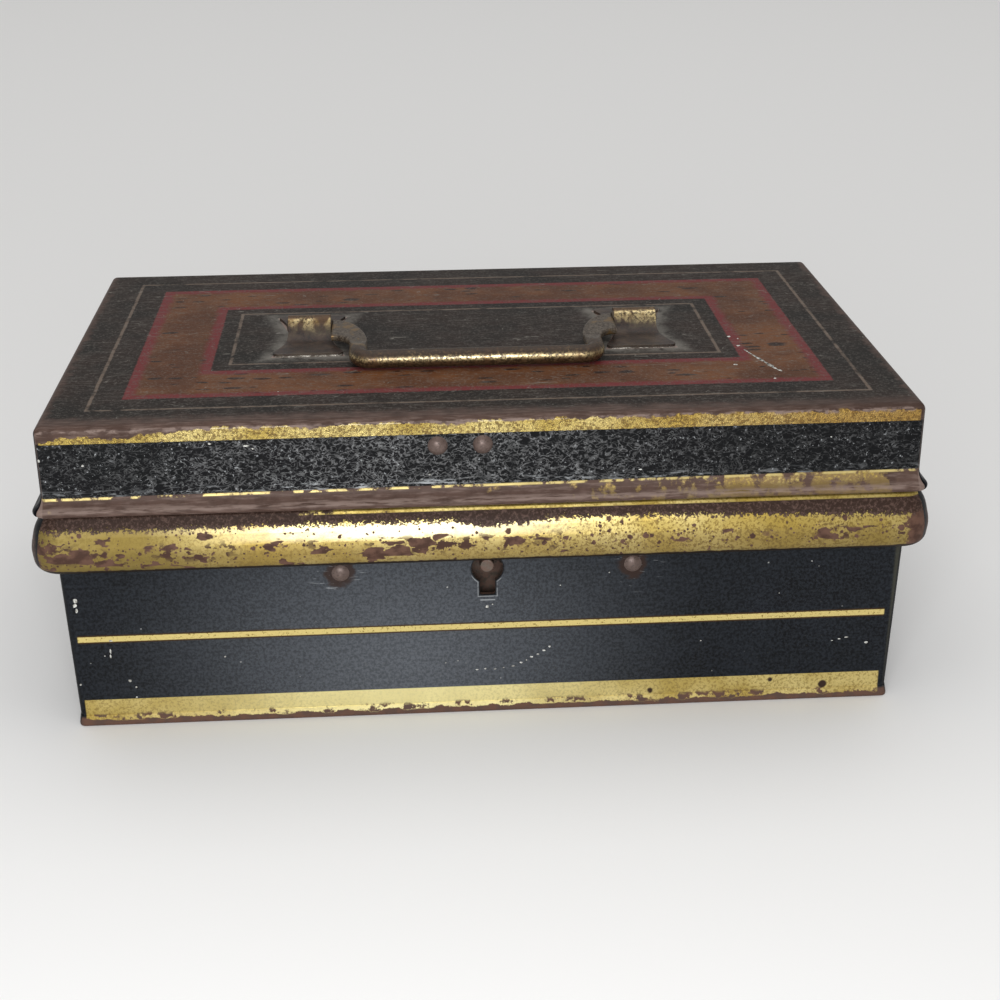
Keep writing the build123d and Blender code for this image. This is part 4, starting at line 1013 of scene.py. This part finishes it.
BODY_FLECKS = [
    (-121.1, 42.2, 1.5, 1.8), (-121.3, 40.6, 1.4, 1.8), (-120.9, 38.9, 0.9, 1.6),
    (-112.0, 28.6, 1.3, 0.6), (-112.4, 25.2, 0.6, 2.2), (-112.5, 23.4, 0.6, 1.6),
    (-122.3, 14.1, 0.7, 0.7), (-107.7, 14.9, 1.3, 1.0), (-105.9, 12.6, 0.8, 0.7),
    (-106.1, 9.2, 0.9, 0.5), (-114.2, 23.6, 0.5, 0.4), (-78.8, 21.9, 0.6, 0.6),
    (-0.2, 35.6, 1.1, 1.2), (1.4, 36.3, 0.5, 0.5), (-3.4, 14.3, 1.2, 0.5),
    (-0.9, 14.5, 0.7, 0.5), (2.0, 14.3, 0.9, 0.4), (4.7, 14.7, 0.7, 0.4),
    (7.6, 15.1, 1.1, 0.5), (9.9, 16.2, 1.0, 0.6), (11.6, 17.0, 0.6, 0.5),
    (13.1, 18.0, 1.1, 0.8), (15.1, 18.9, 0.9, 0.6), (16.9, 20.1, 1.2, 0.7),
    (18.6, 21.4, 1.0, 0.8), (-12.9, 17.1, 0.5, 0.4), (-9.2, 17.6, 0.4, 0.4),
    (116.1, 18.8, 1.2, 0.9), (109.8, 20.9, 1.4, 0.6), (107.6, 20.4, 1.2, 0.4),
    (105.4, 19.9, 0.9, 0.3), (21.7, 41.9, 0.5, 0.4), (64.8, 21.5, 0.5, 0.4),
    (36.3, 45.6, 0.5, 0.4), (88.0, 36.8, 0.4, 0.4),
]
LID_FRONT_FLECKS = [
    (-126.0, 87.5, 1.0, 1.0), (-114.0, 85.6, 0.9, 0.9), (-78.2, 91.2, 1.4, 0.7),
    (-68.0, 90.2, 2.0, 0.8), (-66.2, 89.3, 0.9, 0.6), (-16.4, 79.8, 0.9, 0.6),
    (44.4, 79.4, 1.5, 0.4), (99.6, 87.8, 0.8, 0.4),
]
LID_TOP_FLECKS = [
    (83.1, -20.4, 1.6, 1.4), (82.0, -11.0, 1.5, 1.6), (84.4, -13.4, 0.7, 0.9),
    (78.8, -38.6, 1.6, 0.9), (88.2, -52.0, 1.0, 0.8), (-60.0, -52.0, 0.6, 0.6),
]
SCRATCH_LINE = [
    (84.2, -24.4), (85.0, -26.8), (85.7, -29.2), (86.5, -31.6), (87.3, -34.0),
    (88.1, -36.4), (88.8, -38.8), (89.5, -41.2), (90.5, -43.6), (91.6, -46.0),
]


def add_seams_and_flecks():
    """The pieces that the scene adds to the solids."""
    chance = random.Random(CHANCE_SEED)
    solder_seam("solder_left", -EAR_X, chance)
    solder_seam("solder_right", EAR_X, chance)
    front_flecks("body_flecks", "body", WALL_Y, BODY_FLECKS, chance)
    front_flecks("lid_front_flecks", "lid", -APRON_Y, LID_FRONT_FLECKS, chance)
    top_flecks("lid_top_flecks", "lid", LID_TOP, LID_TOP_FLECKS, chance)
    lid_scratch(chance)


# ---------------------------------------------------------------- floor, light, camera
# These are in metres.

FLOOR_REACH = 3.0
FLOOR_COLOUR = (0.84, 0.84, 0.84, 1)
FLOOR_ROUGH = 0.6
WORLD_COLOUR = (1.0, 0.99, 0.97, 1)
WORLD_STRENGTH = 0.5
KEY_LAMP = {"place": (-0.07, -0.62, 0.24), "aim": (0, -0.05, 0.06),
            "size": (0.3, 0.16), "power": 2.2}
OVER_LAMP = {"place": (0.0, 0.4, 3.4), "aim": (0, 0.4, 0), "size": (4.0, 4.0), "power": 45.0}
CAMERA_PLACE = (-0.02385, -0.51991, 0.26454)
CAMERA_FORWARD = (0.05914, 0.91595, -0.39692)
CAMERA_ROLL = -0.305                 # degrees
CAMERA_LENS = 60.25                  # millimetres, as is the sensor's width
CAMERA_SENSOR = 36.0
CAMERA_NEAR = 0.01
CAMERA_SHIFT = (-0.0035, -0.0048)


def floor():
    """A plain pale floor."""
    mesh = bpy.data.meshes.new("floor")
    sides = (-FLOOR_REACH, FLOOR_REACH)
    corners = [(x, y, 0) for x in sides for y in sides]
    mesh.from_pydata(corners, [], [(0, 2, 3, 1)])
    obj = in_scene("floor", mesh)
    g = Graph("floor")
    shader = g.add("ShaderNodeBsdfPrincipled")
    shader.inputs["Base Color"].default_value = FLOOR_COLOUR
    shader.inputs["Roughness"].default_value = FLOOR_ROUGH
    output = g.add("ShaderNodeOutputMaterial")
    g.tree.links.new(shader.outputs[0], output.inputs[0])
    mesh.materials.append(g.material)


def world():
    """Plain soft light from all round."""
    studio = bpy.data.worlds.new("studio")
    bpy.context.scene.world = studio
    studio.use_nodes = True
    background = studio.node_tree.nodes["Background"]
    background.inputs["Color"].default_value = WORLD_COLOUR
    background.inputs["Strength"].default_value = WORLD_STRENGTH


def soft_lamp(name, place, aim, size, power):
    """A rectangular lamp that looks from its place to its aim."""
    lamp = bpy.data.lights.new(name, "AREA")
    lamp.shape = "RECTANGLE"
    lamp.size, lamp.size_y = size
    lamp.energy = power
    obj = in_scene(name, lamp)
    obj.location = place
    obj.rotation_euler = (Vector(aim) - Vector(place)).to_track_quat("-Z", "Y").to_euler()


def camera():
    """The view from in front, above and a little to the left."""
    lens = bpy.data.cameras.new("camera")
    lens.sensor_width = CAMERA_SENSOR
    lens.lens = CAMERA_LENS
    lens.clip_start = CAMERA_NEAR
    lens.shift_x, lens.shift_y = CAMERA_SHIFT
    obj = in_scene("camera", lens)
    aim = Vector(CAMERA_FORWARD).to_track_quat("-Z", "Y").to_matrix()
    obj.rotation_euler = (aim @ Matrix.Rotation(math.radians(CAMERA_ROLL), 3, "Z")).to_euler()
    obj.location = CAMERA_PLACE
    bpy.context.scene.camera = obj


camera()
world()
floor()
soft_lamp("key", **KEY_LAMP)
soft_lamp("over", **OVER_LAMP)
dress_solids()
add_seams_and_flecks()

bpy.context.scene.view_settings.view_transform = "Standard"
